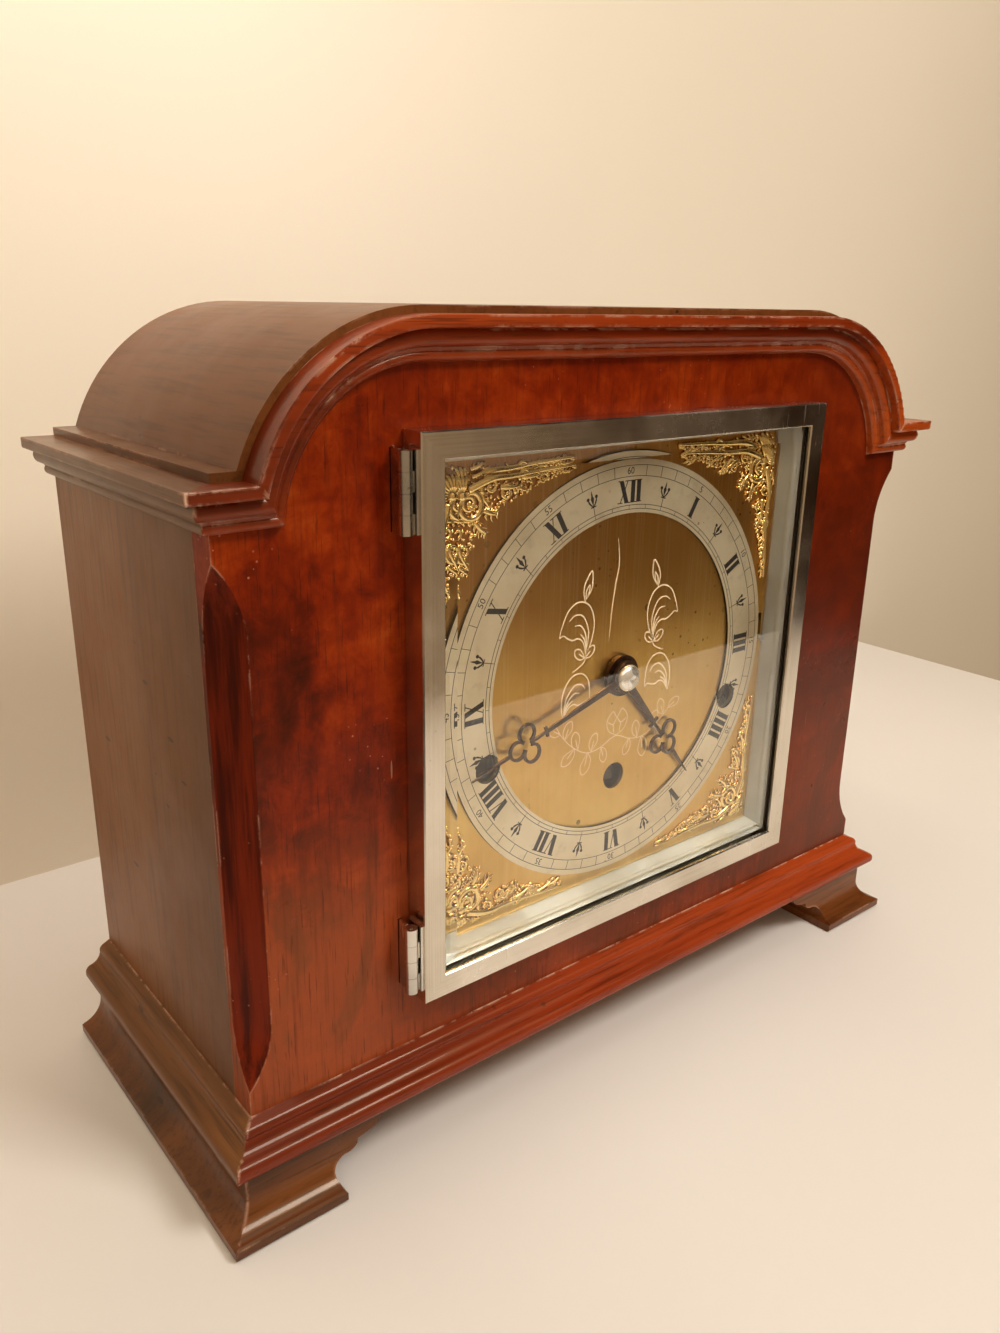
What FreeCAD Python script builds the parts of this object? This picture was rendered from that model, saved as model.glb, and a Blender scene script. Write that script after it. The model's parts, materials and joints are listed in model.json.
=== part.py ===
import FreeCAD, Part
import Sketcher

import math
import operator
import os
from types import SimpleNamespace

# Bracket mantel clock with an arched roof, a square hinged bezel, and a three-train chiming movement.
# X runs to the right, Y to the back and Z up. The origin is the middle of the footprint, on the table.

DIMENSIONS = {
    # Case; the arch and the cornice are set out from the bezel's top edge
    "case_width": 284, "case_depth": 113, "foot_height": 21.5, "cornice_rise": 16.4,
    "panel_thickness": 10, "side_thickness": 9, "base_thickness": 8,
    "chamfer": 8, "stop_length": 20, "chamfer_foot_gap": 20.5, "chamfer_top_gap": 18.9,
    # Arched roof and the ledges at its feet
    "arch_shoulder": 61, "arch_drop": 26, "roof_radius": 56.3, "roof_thickness": 5,
    "ledge_height": 2.4, "ledge_inset": 1,
    # Arch moulding and cornice, one section
    "moulding_setback": 2, "moulding_section": 12, "moulding_reach": 8.8,
    # Plinth
    "plinth_height": 13, "plinth_reach": 9.5,
    # Bracket feet
    "foot_reach": 13, "foot_neck": 5.5, "foot_block": 14, "foot_back": 16, "foot_length": 36,
    "scroll_length": 18, "foot_edge": 3.6, "foot_ease": 0.9,
    # Back board, its door and the door's hinges
    "back_recess": 7, "back_thickness": 6, "door_side": 38, "door_foot_gap": 15.5, "door_top_gap": 18.4,
    "door_gap": 0.5, "door_rebate": 1, "door_hinge_length": 25, "door_hinge_inset": 25, "door_leaf": 11,
    "door_leaf_thickness": 1, "door_knuckle": 1.5, "door_pin": 0.6, "door_knuckle_lift": 0.3,
    "knob_radius": 4, "knob_length": 5, "knob_inset": 10,
    # Bezel door, glass, hinges and catch
    "bezel_half": 85, "bezel_low": 53, "bezel_reach": 8.8, "bezel_gap": 0.3, "bezel_lip": 1.2,
    "bezel_face": 7.6, "bezel_rebate_width": 3.2, "aperture_inset": 5, "edge_round": 0.4,
    "glass_thickness": 2.2, "glass_edge": 1.1, "glass_bevel": 7, "glass_gap": 0.2,
    "retainer_width": 1.7, "retainer_depth": 1.4,
    "hinge_knuckle": 2, "hinge_pin": 0.8, "hinge_length": 22, "hinge_inset": 15.5, "hinge_offset": 3.3,
    "hinge_setback": 2.8, "hinge_leaf": 1, "hinge_leaf_depth": 7, "hinge_mortise_gap": 0.2,
    "hinge_joint_gap": 0.1, "hinge_leaf_gap": 0.3,
    "catch_inset": 2.2, "catch_radius": 1.2, "catch_length": 4, "catch_gap": 0.6,
    # Dial; it and the bezel sit a little left of the case's middle
    "dial_x": -2.6, "dial_rise": 0.4, "dial_setback": 2.4, "dial_thickness": 1.2, "dial_inset": 7,
    "ring_margin": 7.5, "ring_thickness": 0.8, "winding_hole": 4.7, "centre_hole": 4,
    "surround_cover": 4.7, "surround_edge": 0.8, "surround_front": 4.8, "surround_lap": 1,
    "surround_foot": 0.8,
    "spandrel_thickness": 1.5, "spandrel_gap": 1.6, "spandrel_margin": 6.5, "spandrel_leaf": 6,
    "lever_margin": 6.1, "lever_slot": 1.8, "lever_travel": 8, "lever_knob": 1.1, "lever_proud": 2,
    "lever_plate": 6, "lever_plate_thickness": 1, "lever_gap": 0.1,
    "dial_foot_side": 8, "dial_foot_end": 28, "dial_foot_radius": 3,
    # Hands, their bosses and the cap nut
    "hand_thickness": 0.7, "hour_lap": 2.3, "minute_clear": 4, "hour_boss": 7, "minute_boss": 5.4,
    "nut_radius": 4.5, "nut_height": 2.6, "nut_pip": 0.5, "hour_setback": 0.3, "minute_reach": 1.5,
    "boss_gap": 0.4, "hour_blade": 3.4, "minute_blade": 2.6, "loop_radius": 3.5, "loop_wire": 1,
    # Motion work
    "cannon_radius": 2.2, "pipe_wall": 0.9, "motion_distance": 12.5, "running_gap": 0.05,
    "hour_wheel_setback": 9, "minute_wheel_setback": 12.2, "wheel_thickness": 1.2, "pinion_length": 3,
    "motion_post": 1.2,
    # Movement plates and posts; the rear plate stands clear of the chime rods behind it
    "plate_setback": 14, "plate_thickness": 2, "plate_rod_gap": 8, "post_radius": 4, "post_inset": 8,
    "centre_arbor": 1.5,
    # Barrels and winding arbors
    "winding_arbor": 3.5, "winding_square": 5, "square_setback": 5.2, "barrel_rim": 1.2,
    "barrel_rim_length": 3, "barrel_front_gap": 5, "barrel_back_gap": 9, "great_wheel_thickness": 2,
    "wheel_gap": 0.6, "ratchet_radius": 9, "ratchet_thickness": 1.8,
    # Platform and balance
    "platform_radius": 19, "platform_thickness": 2, "balance_radius": 12, "balance_rim": 1.6,
    "balance_thickness": 1.4, "balance_gap": 3, "balance_staff": 0.7,
    "cock_width": 7, "cock_thickness": 1.5,
    # Seat board, hammers and chime rods
    "seat_thickness": 8,
    "rod_radius": 1.2, "rod_rise": 18.5, "rod_spacing": 7, "rod_back_gap": 11, "rod_end_gap": 55,
    "rod_step": 12, "block_length": 18, "block_height": 26, "block_margin": 6, "block_side": 15,
    "hammer_inset": 47.4, "hammer_rise": 10, "hammer_arm": 28, "hammer_head": 2.6, "hammer_head_height": 10,
    "hammer_gap": 2, "hammer_shaft": 1.2, "hammer_wire": 0.9, "hammer_stem": 1.3, "hammer_hub": 2.6,
    "hammer_hub_length": 5,
    # Shared by every cut
    "overrun": 1,
}

# The chapter ring's bore, as a share of its outer radius
RING_BORE_SHARE = 0.7617
# The movement is laid out to the dial: shares of the chapter ring's bore radius
WINDING_X_SHARE = 1.0242
WINDING_DROP_SHARE = 0.3613
GOING_DROP_SHARE = 0.6816
PLATE_HALF_WIDTH_SHARE = 1.713
PLATE_DROP_SHARE = 1.3855
PLATE_RISE_SHARE = 1.0354
BALANCE_X_SHARE = 0.6816
BALANCE_RISE_SHARE = 0.5512
# A barrel's radius as a share of its distance from the centre arbor
BARREL_SHARE = 0.5738
# A knuckle's tab starts this many pin radii from the pin's centre
TAB_SHARE = 1.5
DIAGONAL_SHARE = math.sqrt(0.5)

doc = FreeCAD.newDocument("MantelClock")
sheet = doc.addObject("Spreadsheet::Sheet", "Dimensions")
for row, (alias, number) in enumerate(DIMENSIONS.items(), start=1):
    sheet.set(f"A{row}", alias)
    sheet.set(f"B{row}", str(number))
    sheet.setAlias(f"B{row}", alias)
doc.recompute()

OPERATIONS = {"+": operator.add, "-": operator.sub, "*": operator.mul, "/": operator.truediv}


class Size(float):
    """A number in millimetres that also carries the sheet formula it comes from."""

    def __new__(cls, number, formula):
        size = super().__new__(cls, number)
        size.formula = formula
        return size

    def __add__(self, other):
        return combined(self, "+", other)

    def __radd__(self, other):
        return combined(other, "+", self)

    def __sub__(self, other):
        return combined(self, "-", other)

    def __rsub__(self, other):
        return combined(other, "-", self)

    def __mul__(self, other):
        return combined(self, "*", other)

    def __rmul__(self, other):
        return combined(other, "*", self)

    def __truediv__(self, other):
        return combined(self, "/", other)

    def __neg__(self):
        return combined(0, "-", self)


def formula_of(number):
    return number.formula if isinstance(number, Size) else repr(float(number))


def combined(left, sign, right):
    number = OPERATIONS[sign](float(left), float(right))
    return Size(number, f"({formula_of(left)} {sign} {formula_of(right)})")


def root(size):
    return Size(math.sqrt(size), f"sqrt({formula_of(size)})")


d = SimpleNamespace(**{alias: Size(sheet.get(alias), f"Dimensions.{alias}") for alias in DIMENSIONS})

# Planes and heights that several pieces share
panel_y = (d.foot_reach - d.case_depth) / 2
back_y = panel_y + d.case_depth
half = d.case_width / 2
inner_half = half - d.side_thickness
base_top = d.foot_height + d.base_thickness
bezel_z = d.bezel_low + d.bezel_half
dial_z = bezel_z + d.dial_rise
arch_x = half - d.arch_shoulder
arch_z = bezel_z + d.bezel_half - d.arch_drop
cornice_top = arch_z + d.cornice_rise
panel_back = panel_y + d.panel_thickness
board_back = back_y - d.back_recess
board_front = board_back - d.back_thickness
ledge_top = cornice_top + d.ledge_height
roof_inner = d.roof_radius - d.roof_thickness
moulding_radius = d.roof_radius - d.moulding_setback
dial_front = panel_y + d.dial_setback
dial_back = dial_front + d.dial_thickness
ring_front = dial_front - d.ring_thickness
bezel_window = d.bezel_half - d.bezel_face
bezel_rebate = bezel_window + d.bezel_rebate_width
aperture_half = d.bezel_half - d.aperture_inset
dial_half = d.bezel_half - d.dial_inset
ring_radius = dial_half - d.ring_margin
ring_bore = ring_radius * RING_BORE_SHARE
ROD_COUNT = 4
last_rod_y = board_front - d.rod_back_gap
rod_ys = [last_rod_y - (ROD_COUNT - number) * d.rod_spacing for number in range(1, ROD_COUNT + 1)]
plate_y = panel_y + d.plate_setback
plate_y_back = plate_y + d.plate_thickness
rear_plate_back = rod_ys[0] - d.plate_rod_gap
rear_plate_y = rear_plate_back - d.plate_thickness
bezel_front = panel_y - d.bezel_reach
bezel_back = panel_y - d.bezel_gap
going_drop = ring_bore * GOING_DROP_SHARE
winding_x = ring_bore * WINDING_X_SHARE
winding_z = dial_z - ring_bore * WINDING_DROP_SHARE
barrel_radius = going_drop * BARREL_SHARE
plate_half_width = ring_bore * PLATE_HALF_WIDTH_SHARE
plate_low = dial_z - ring_bore * PLATE_DROP_SHARE
plate_high = dial_z + ring_bore * PLATE_RISE_SHARE
SIDES = {"left": -1, "right": 1}
FAR = d.case_width

subparts = []


# Building blocks bound to the sheet

def vector(x, y, z):
    return FreeCAD.Vector(float(x), float(y), float(z))


def bind(thing, path, size):
    """Set a property from the sheet's formula, or from a plain number where there is none."""
    if isinstance(size, Size):
        thing.setExpression(path, size.formula)
    elif "." not in path and "[" not in path:
        setattr(thing, path, size)


def place(thing, x, y, z, turn=None):
    thing.Placement = FreeCAD.Placement(vector(x, y, z), turn or FreeCAD.Rotation())
    for axis, size in zip("xyz", (x, y, z)):
        bind(thing, f"Placement.Base.{axis}", size)
    return thing


def block(name, x, y, z):
    """A box between the low and high corners given as pairs."""
    box = doc.addObject("Part::Box", name)
    for side, (low, high) in zip(("Length", "Width", "Height"), (x, y, z)):
        bind(box, side, high - low)
    return place(box, x[0], y[0], z[0])


TURNS = {
    "x": FreeCAD.Rotation(FreeCAD.Vector(0, 1, 0), 90),
    "y": FreeCAD.Rotation(FreeCAD.Vector(1, 0, 0), -90),
    "z": FreeCAD.Rotation(),
}


def cylinder(name, axis, centre, radius, span):
    """A round bar along an axis: centre gives its other two coordinates, in X, Y, Z order."""
    bar = doc.addObject("Part::Cylinder", name)
    bind(bar, "Radius", radius)
    bind(bar, "Height", span[1] - span[0])
    low = {
        "x": (span[0], *centre),
        "y": (centre[0], span[0], centre[-1]),
        "z": (*centre, span[0]),
    }[axis]
    return place(bar, *low, TURNS[axis])


def joined(name, pieces):
    fusion = doc.addObject("Part::MultiFuse", name)
    fusion.Shapes = pieces
    return fusion


def shared(name, first, second):
    common = doc.addObject("Part::MultiCommon", name)
    common.Shapes = [first, second]
    return common


def without(name, base, tools):
    cut = doc.addObject("Part::Cut", name)
    cut.Base = base
    cut.Tool = tools[0] if len(tools) == 1 else joined(f"{name}_tools", tools)
    return cut


def grouped(name, pieces):
    compound = doc.addObject("Part::Compound", name)
    compound.Links = pieces
    return compound


def made(name, shape):
    """A piece whose form comes from the geometry functions below, with sizes read from the sheet."""
    feature = doc.addObject("Part::Feature", name)
    feature.Shape = shape
    return feature


def subpart(feature):
    subparts.append(feature)
    return feature


# Sketched bodies

def origin_plane(body, role):
    return next(plane for plane in body.Origin.OriginFeatures if plane.Role == role)


def fixed_point(sketch, geometry, position, point):
    for kind, size in zip(("DistanceX", "DistanceY"), point):
        number = sketch.addConstraint(Sketcher.Constraint(kind, -1, 1, geometry, position, float(size)))
        bind(sketch, f"Constraints[{number}]", size)


def draw_polygon(sketch, points):
    ends = points[1:] + points[:1]
    lines = [
        sketch.addGeometry(Part.LineSegment(vector(*start, 0), vector(*end, 0)))
        for start, end in zip(points, ends)
    ]
    for line, following in zip(lines, lines[1:] + lines[:1]):
        sketch.addConstraint(Sketcher.Constraint("Coincident", line, 2, following, 1))
    for line, point in zip(lines, points):
        fixed_point(sketch, line, 1, point)


def draw_circle(sketch, centre, radius):
    circle = sketch.addGeometry(Part.Circle(vector(*centre, 0), vector(0, 0, 1), float(radius)))
    fixed_point(sketch, circle, 3, centre)
    number = sketch.addConstraint(Sketcher.Constraint("Radius", circle, float(radius)))
    bind(sketch, f"Constraints[{number}]", radius)


def new_sketch(body, role):
    sketch = body.newObject("Sketcher::SketchObject", f"{body.Name}_outline")
    sketch.AttachmentSupport = (origin_plane(body, role), "")
    sketch.MapMode = "FlatFace"
    return sketch


def sheet_body(name, outlines, y):
    """A plate drawn in the front view and padded from y[0] to y[1]; inner outlines are holes."""
    body = doc.addObject("PartDesign::Body", name)
    sketch = new_sketch(body, "XZ_Plane")
    for outline in outlines:
        if isinstance(outline, list):
            draw_polygon(sketch, outline)
        else:
            draw_circle(sketch, *outline)
    pad = body.newObject("PartDesign::Pad", f"{name}_pad")
    pad.Profile = sketch
    bind(pad, "Length", y[1] - y[0])
    return place(body, 0, y[1], 0)


def turned_body(name, axis, centre, points):
    """A body turned on a lathe: points are (radius, distance along the axis), from end to end."""
    body = doc.addObject("PartDesign::Body", name)
    sketch = new_sketch(body, "XZ_Plane")
    draw_polygon(sketch, points)
    lathe = body.newObject("PartDesign::Revolution", f"{name}_turning")
    lathe.Profile = sketch
    lathe.ReferenceAxis = (sketch, ["V_Axis"])
    lathe.Angle = 360
    return place(body, *centre, TURNS[axis])


def rectangle(x, z):
    return [(x[0], z[0]), (x[1], z[0]), (x[1], z[1]), (x[0], z[1])]


def square(centre_z, half_side):
    """A square round the dial's centre line."""
    x = (d.dial_x - half_side, d.dial_x + half_side)
    return rectangle(x, (centre_z - half_side, centre_z + half_side))


# Free outlines: a point is (u, v), and a pair of points is an arc through the first to the second

def flat_face(outline, to_space):
    edges = []
    start = outline[0]
    for step in outline[1:] + outline[:1]:
        if len(step) == 2 and isinstance(step[0], tuple):
            middle, end = step
            edges.append(Part.Arc(to_space(*start), to_space(*middle), to_space(*end)).toShape())
        else:
            end = step
            edges.append(Part.makeLine(to_space(*start), to_space(*end)))
        start = end
    return Part.Face(Part.Wire(edges))


def scaled(outline, reach, height):
    """An outline written in shares, brought to its real reach and height."""
    points = []
    for step in outline:
        if isinstance(step[0], tuple):
            points.append(tuple((u * reach, v * height) for u, v in step))
        else:
            points.append((step[0] * reach, step[1] * height))
    return points


def front_prism(outline, y):
    face = flat_face(outline, lambda x, z: vector(x, y[0], z))
    return face.extrude(vector(0, y[1] - y[0], 0))


def plan_prism(outline, z):
    face = flat_face(outline, lambda x, y: vector(x, y, z[0]))
    return face.extrude(vector(0, 0, z[1] - z[0]))


# Case boards

def arch_solid(name, radius, y, low):
    """The space under the arch: two round shoulders and what lies between and below them, above low."""
    shoulders = [
        cylinder(f"{name}_{side}", "y", (sign * arch_x, arch_z), radius, y) for side, sign in SIDES.items()
    ]
    middle = block(f"{name}_middle", (-arch_x, arch_x), y, (arch_z, arch_z + radius))
    whole = joined(f"{name}_whole", shoulders + [middle])
    above = block(f"{name}_above", (-FAR, FAR), y, (low, low + FAR))
    return shared(name, whole, above)


def stopped_chamfer(name, sign):
    """The corner's chamfer, as the solid it removes, easing out to nothing at both stops."""
    depth = d.chamfer * DIAGONAL_SHARE
    curve = (depth * depth + d.stop_length * d.stop_length) / (2 * depth)
    middle_rise = d.stop_length / 2
    middle = depth - curve + math.sqrt(curve * curve - middle_rise * middle_rise)
    low, high = d.foot_height + d.chamfer_foot_gap, cornice_top - d.chamfer_top_gap
    outline = [
        (0, low),
        ((middle, low + middle_rise), (depth, low + d.stop_length)),
        (depth, high - d.stop_length),
        ((middle, high - middle_rise), (0, high)),
        (-d.overrun, high),
        (-d.overrun, low),
    ]

    def to_space(inward, z):
        x = half - (inward + d.chamfer) * DIAGONAL_SHARE
        return vector(sign * x, panel_y + (inward - d.chamfer) * DIAGONAL_SHARE, z)

    face = flat_face(outline, to_space)
    return made(name, face.extrude(vector(sign, 1, 0) * float(2 * d.chamfer * DIAGONAL_SHARE)))


hinge_x = d.dial_x - d.bezel_half - d.hinge_offset
hinge_y = bezel_front + d.hinge_setback
hinge_spread = d.bezel_half - d.hinge_inset
catch_x = d.dial_x + d.bezel_half - d.catch_inset
HINGE_HEIGHTS = {"upper": bezel_z + hinge_spread, "lower": bezel_z - hinge_spread}


def front_panel():
    y = (panel_y, panel_back)
    lower = block("panel_lower", (-half, half), y, (d.foot_height, cornice_top))
    upper = arch_solid("panel_arch", roof_inner, y, cornice_top)
    through = (panel_y - d.overrun, panel_back + d.overrun)
    aperture = (bezel_z - aperture_half, bezel_z + aperture_half)
    cuts = [block("panel_aperture", (d.dial_x - aperture_half, d.dial_x + aperture_half), through, aperture)]
    cuts += [stopped_chamfer(f"chamfer_{side}", sign) for side, sign in SIDES.items()]
    slot = d.hinge_leaf / 2 + d.hinge_mortise_gap
    for level, z in HINGE_HEIGHTS.items():
        reach = d.hinge_length / 2 + d.hinge_mortise_gap
        depth = (panel_y - d.overrun, panel_y + d.hinge_leaf_depth + d.hinge_mortise_gap)
        mortise_x = (hinge_x - slot, hinge_x + slot)
        cuts.append(block(f"mortise_{level}", mortise_x, depth, (z - reach, z + reach)))
    hole = (panel_y - d.overrun, panel_y + d.catch_length + d.catch_gap)
    cuts.append(cylinder("catch_hole", "y", (catch_x, bezel_z), d.catch_radius + d.catch_gap, hole))
    return without("front_panel", joined("panel_board", [lower, upper]), cuts)


def side_panel(side, sign):
    x = sorted((sign * inner_half, sign * half))
    return block(f"side_panel_{side}", x, (panel_back, back_y), (d.foot_height, cornice_top))


def roof_ledge(side, sign):
    """The flat strip that carries the roof's foot on one side."""
    rise = cornice_top - arch_z
    inner = arch_x + root(roof_inner * roof_inner - rise * rise)
    x = sorted((sign * inner, sign * (half - d.ledge_inset)))
    return block(f"roof_ledge_{side}", x, (panel_y, back_y), (cornice_top, ledge_top))


def case_roof():
    y = (panel_y, back_y)
    outer = arch_solid("roof_outer", d.roof_radius, y, ledge_top)
    inner = arch_solid("roof_inner", roof_inner, (y[0] - d.overrun, y[1] + d.overrun), ledge_top - d.overrun)
    return without("case_roof", outer, [inner])


subpart(front_panel())
for side, sign in SIDES.items():
    subpart(side_panel(side, sign))
subpart(grouped("roof_ledges", [roof_ledge(side, sign) for side, sign in SIDES.items()]))
subpart(case_roof())
subpart(block("base_board", (-inner_half, inner_half), (panel_back, back_y), (d.foot_height, base_top)))


# Mouldings, each mitred to its neighbours

# From the top of the wall outwards and down: a flat nose, a round band, a step and a small bead
CORNICE_SHARES = [
    (0, 0), (0.95, 0), ((0.99, -0.01), (1, -0.05)), (1, -0.22), (0.98, -0.265), (0.93, -0.28), (0.58, -0.31),
    ((0.66, -0.47), (0.54, -0.64)), (0.36, -0.68), (0.3, -0.76), ((0.33, -0.88), (0.24, -0.96)), (0, -1),
]
# From the wall's foot up: a round nose, an ogee and a small top fillet
PLINTH_SHARES = [
    (0, 0), (0.88, 0), ((0.97, 0.06), (1, 0.17)), ((0.96, 0.31), (0.8, 0.4)), ((0.52, 0.52), (0.4, 0.7)),
    ((0.38, 0.82), (0.28, 0.9)), (0, 1),
]


def wall_strip(name, section, run, clip):
    """A moulding run straight along a wall and cut to its mitres by a clipping solid."""
    return made(name, section.extrude(run).common(clip))


def side_wedge(sign, z):
    """Everything beside the case, behind the 45 degree mitre at its front corner."""
    reach = d.foot_reach + d.overrun
    inside = half - FAR / 4
    outline = [
        (sign * inside, panel_y + half - inside), (sign * (half + reach), panel_y - reach),
        (sign * (half + reach), back_y), (sign * inside, back_y),
    ]
    return plan_prism(outline, z)


def front_wedge(z):
    """Everything before the case, between the mitres at its two front corners."""
    reach = d.foot_reach + d.overrun
    back = d.case_depth / 4
    outline = [
        (-half - reach, panel_y - reach), (half + reach, panel_y - reach),
        (half - back, panel_y + back), (back - half, panel_y + back),
    ]
    return plan_prism(outline, z)


def side_section(sign, outline, base_z):
    return flat_face(outline, lambda reach, z: vector(sign * (half + reach), panel_y - FAR / 2, base_z + z))


def front_section(outline, base_z):
    return flat_face(outline, lambda reach, z: vector(-FAR, panel_y - reach, base_z + z))


def side_moulding(name, sign, outline, base_z):
    z = (base_z - d.moulding_section - d.overrun, base_z + d.foot_height)
    run = vector(0, FAR * 2, 0)
    return wall_strip(name, side_section(sign, outline, base_z), run, side_wedge(sign, z))


cornice_outline = scaled(CORNICE_SHARES, d.moulding_reach, d.moulding_section)
plinth_outline = scaled(PLINTH_SHARES, d.plinth_reach, d.plinth_height)
cornice_bottom = cornice_top - d.moulding_section
arch_inner = moulding_radius - d.moulding_section


def arch_width(radius, z):
    return arch_x + math.sqrt(radius * radius - (z - arch_z) * (z - arch_z))


def mitre_ends(sign):
    """The shoulder mitre, from its inner foot to its outer top, run on a little past both."""
    inner = (arch_width(arch_inner, cornice_bottom), cornice_bottom)
    outer = (arch_width(moulding_radius, cornice_top), cornice_top)
    past = d.overrun / d.moulding_section
    run = (outer[0] - inner[0], outer[1] - inner[1])
    low = (sign * (inner[0] - past * run[0]), inner[1] - past * run[1])
    high = (sign * (outer[0] + past * run[0]), outer[1] + past * run[1])
    return low, high


def arch_moulding():
    def radial(reach, drop):
        return vector(0, panel_y - reach, arch_z + moulding_radius + drop)

    section = flat_face(cornice_outline, radial)
    centre = vector(0, 0, arch_z)
    pieces = []
    for sign in SIDES.values():
        shoulder = section.revolve(centre, vector(0, sign, 0), 90)
        shoulder.translate(vector(sign * arch_x, 0, 0))
        pieces.append(shoulder)
    top = section.extrude(vector(2 * arch_x, 0, 0))
    top.translate(vector(-arch_x, 0, 0))
    whole = pieces[0].fuse([pieces[1], top])
    left_low, left_high = mitre_ends(-1)
    right_low, right_high = mitre_ends(1)
    above = arch_z + FAR
    outline = [left_low, left_high, (-FAR, left_high[1]), (-FAR, above), (FAR, above),
               (FAR, right_high[1]), right_high, right_low]
    clip = front_prism(outline, (panel_y - d.foot_reach, panel_y + d.overrun))
    return made("arch_moulding", whole.common(clip))


def cornice_front(side, sign):
    low, high = mitre_ends(sign)
    clip = front_prism([low, high, (sign * FAR, high[1]), (sign * FAR, low[1])],
                       (panel_y - d.foot_reach, panel_y + d.overrun))
    wedge = front_wedge((cornice_bottom - d.overrun, cornice_top + d.overrun))
    strip = front_section(cornice_outline, cornice_top).extrude(vector(2 * FAR, 0, 0))
    return made(f"cornice_front_{side}", strip.common(wedge).common(clip))


subpart(arch_moulding())
for side, sign in SIDES.items():
    subpart(cornice_front(side, sign))
    subpart(side_moulding(f"cornice_side_{side}", sign, cornice_outline, cornice_top))
    subpart(side_moulding(f"plinth_side_{side}", sign, plinth_outline, d.foot_height))
plinth_strip = front_section(plinth_outline, d.foot_height)
subpart(wall_strip("plinth_front", plinth_strip, vector(2 * FAR, 0, 0),
                   front_wedge((0, d.foot_height + d.plinth_height))))


# Bracket feet: a runner under each side, and a scrolled bracket under each front corner

def foot_outline(inner):
    """Down the foot: a straight neck, a cove and a thin square edge."""
    neck, reach, top = d.foot_neck, d.foot_reach, d.foot_height
    cove_share = 0.6
    cove_depth_share = 0.32
    cove_top = top * cove_share
    cove_drop = (cove_top - d.foot_edge) * (1 - cove_depth_share)
    middle = (neck + (reach - neck) * cove_depth_share, cove_top - cove_drop)
    return [
        (-inner, top), (neck, top), (neck, cove_top),
        (middle, (reach - d.foot_ease, d.foot_edge + d.foot_ease / 2)),
        (reach, d.foot_edge), (reach, d.foot_ease), (reach - d.foot_ease, 0), (-inner, 0),
    ]


def foot_runner(side, sign):
    section = side_section(sign, foot_outline(d.foot_block), 0)
    clip = side_wedge(sign, (-d.overrun, d.foot_height + d.overrun))
    return wall_strip(f"foot_runner_{side}", section, vector(0, 2 * FAR, 0), clip)


# The bracket's inner end, from the floor up: shares of the scroll's length and the foot's height
SCROLL_SHARES = [
    (0, 0), (0, 0.15), ((-0.06, 0.25), (-0.06, 0.34)), ((0.06, 0.45), (0.22, 0.49)),
    ((0.36, 0.51), (0.44, 0.56)), (0.46, 0.64), ((0.66, 0.67), (0.84, 0.73)), ((0.94, 0.82), (1, 1)),
]


def foot_bracket(side, sign):
    section = front_section(foot_outline(d.foot_back), 0)
    strip = section.extrude(vector(2 * FAR, 0, 0))
    corner = half + d.foot_reach
    end = corner - d.foot_length
    scroll = scaled(SCROLL_SHARES, -d.scroll_length, d.foot_height)

    def shifted(point):
        return (sign * (end + point[0]), point[1])

    outline = [
        tuple(shifted(point) for point in step) if isinstance(step[0], tuple) else shifted(step)
        for step in scroll
    ]
    outline += [(sign * (corner + d.overrun), d.foot_height), (sign * (corner + d.overrun), 0)]
    clip = front_prism(outline, (panel_y - d.foot_reach - d.overrun, panel_y + d.foot_back + d.overrun))
    runner = d.foot_block
    mitre = plan_prism([
        (sign * (corner + d.overrun), panel_y - d.foot_reach - d.overrun),
        (sign * (half - runner), panel_y + runner), (sign * (half - runner), panel_y + FAR),
        (0, panel_y + FAR), (0, panel_y - d.foot_reach - d.overrun),
    ], (-d.overrun, d.foot_height + d.overrun))
    return made(f"foot_bracket_{side}", strip.common(clip).common(mitre))


for side, sign in SIDES.items():
    subpart(foot_runner(side, sign))
    subpart(foot_bracket(side, sign))


# Back board and door

door_half_width = inner_half - d.door_side
door_low = base_top + d.door_foot_gap
door_high = cornice_top - d.door_top_gap


def back_board():
    y = (board_front, board_back)
    roof_room = arch_solid("back_arch", roof_inner, y, cornice_top)
    lower = block("back_lower", (-inner_half, inner_half), y, (base_top, cornice_top))
    opening = block("back_opening", (-door_half_width, door_half_width),
                    (board_front - d.overrun, board_back + d.overrun), (door_low, door_high))
    return without("back_board", joined("back_whole", [lower, roof_room]), [opening])


subpart(back_board())
door_edge = door_half_width - d.door_gap
subpart(block("back_door", (-door_edge, door_edge), (board_front + d.door_rebate, board_back),
              (door_low + d.door_gap, door_high - d.door_gap)))

door_hinge_x = -door_half_width
door_hinge_y = board_back + d.door_knuckle + d.door_knuckle_lift
door_middle = (door_low + door_high) / 2
DOOR_HINGES = {"upper": door_high - d.door_hinge_inset, "lower": door_low + d.door_hinge_inset}


def knuckle(name, x, y, radius, pin, span, turns):
    """A knuckle that turns on the pin has a running bore; one that holds the pin is left solid."""
    barrel = cylinder(f"{name}_barrel", "z", (x, y), radius, span)
    if not turns:
        return barrel
    bore = pin + d.running_gap
    hole = cylinder(f"{name}_bore", "z", (x, y), bore, (span[0] - d.overrun, span[1] + d.overrun))
    return without(name, barrel, [hole])


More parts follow.
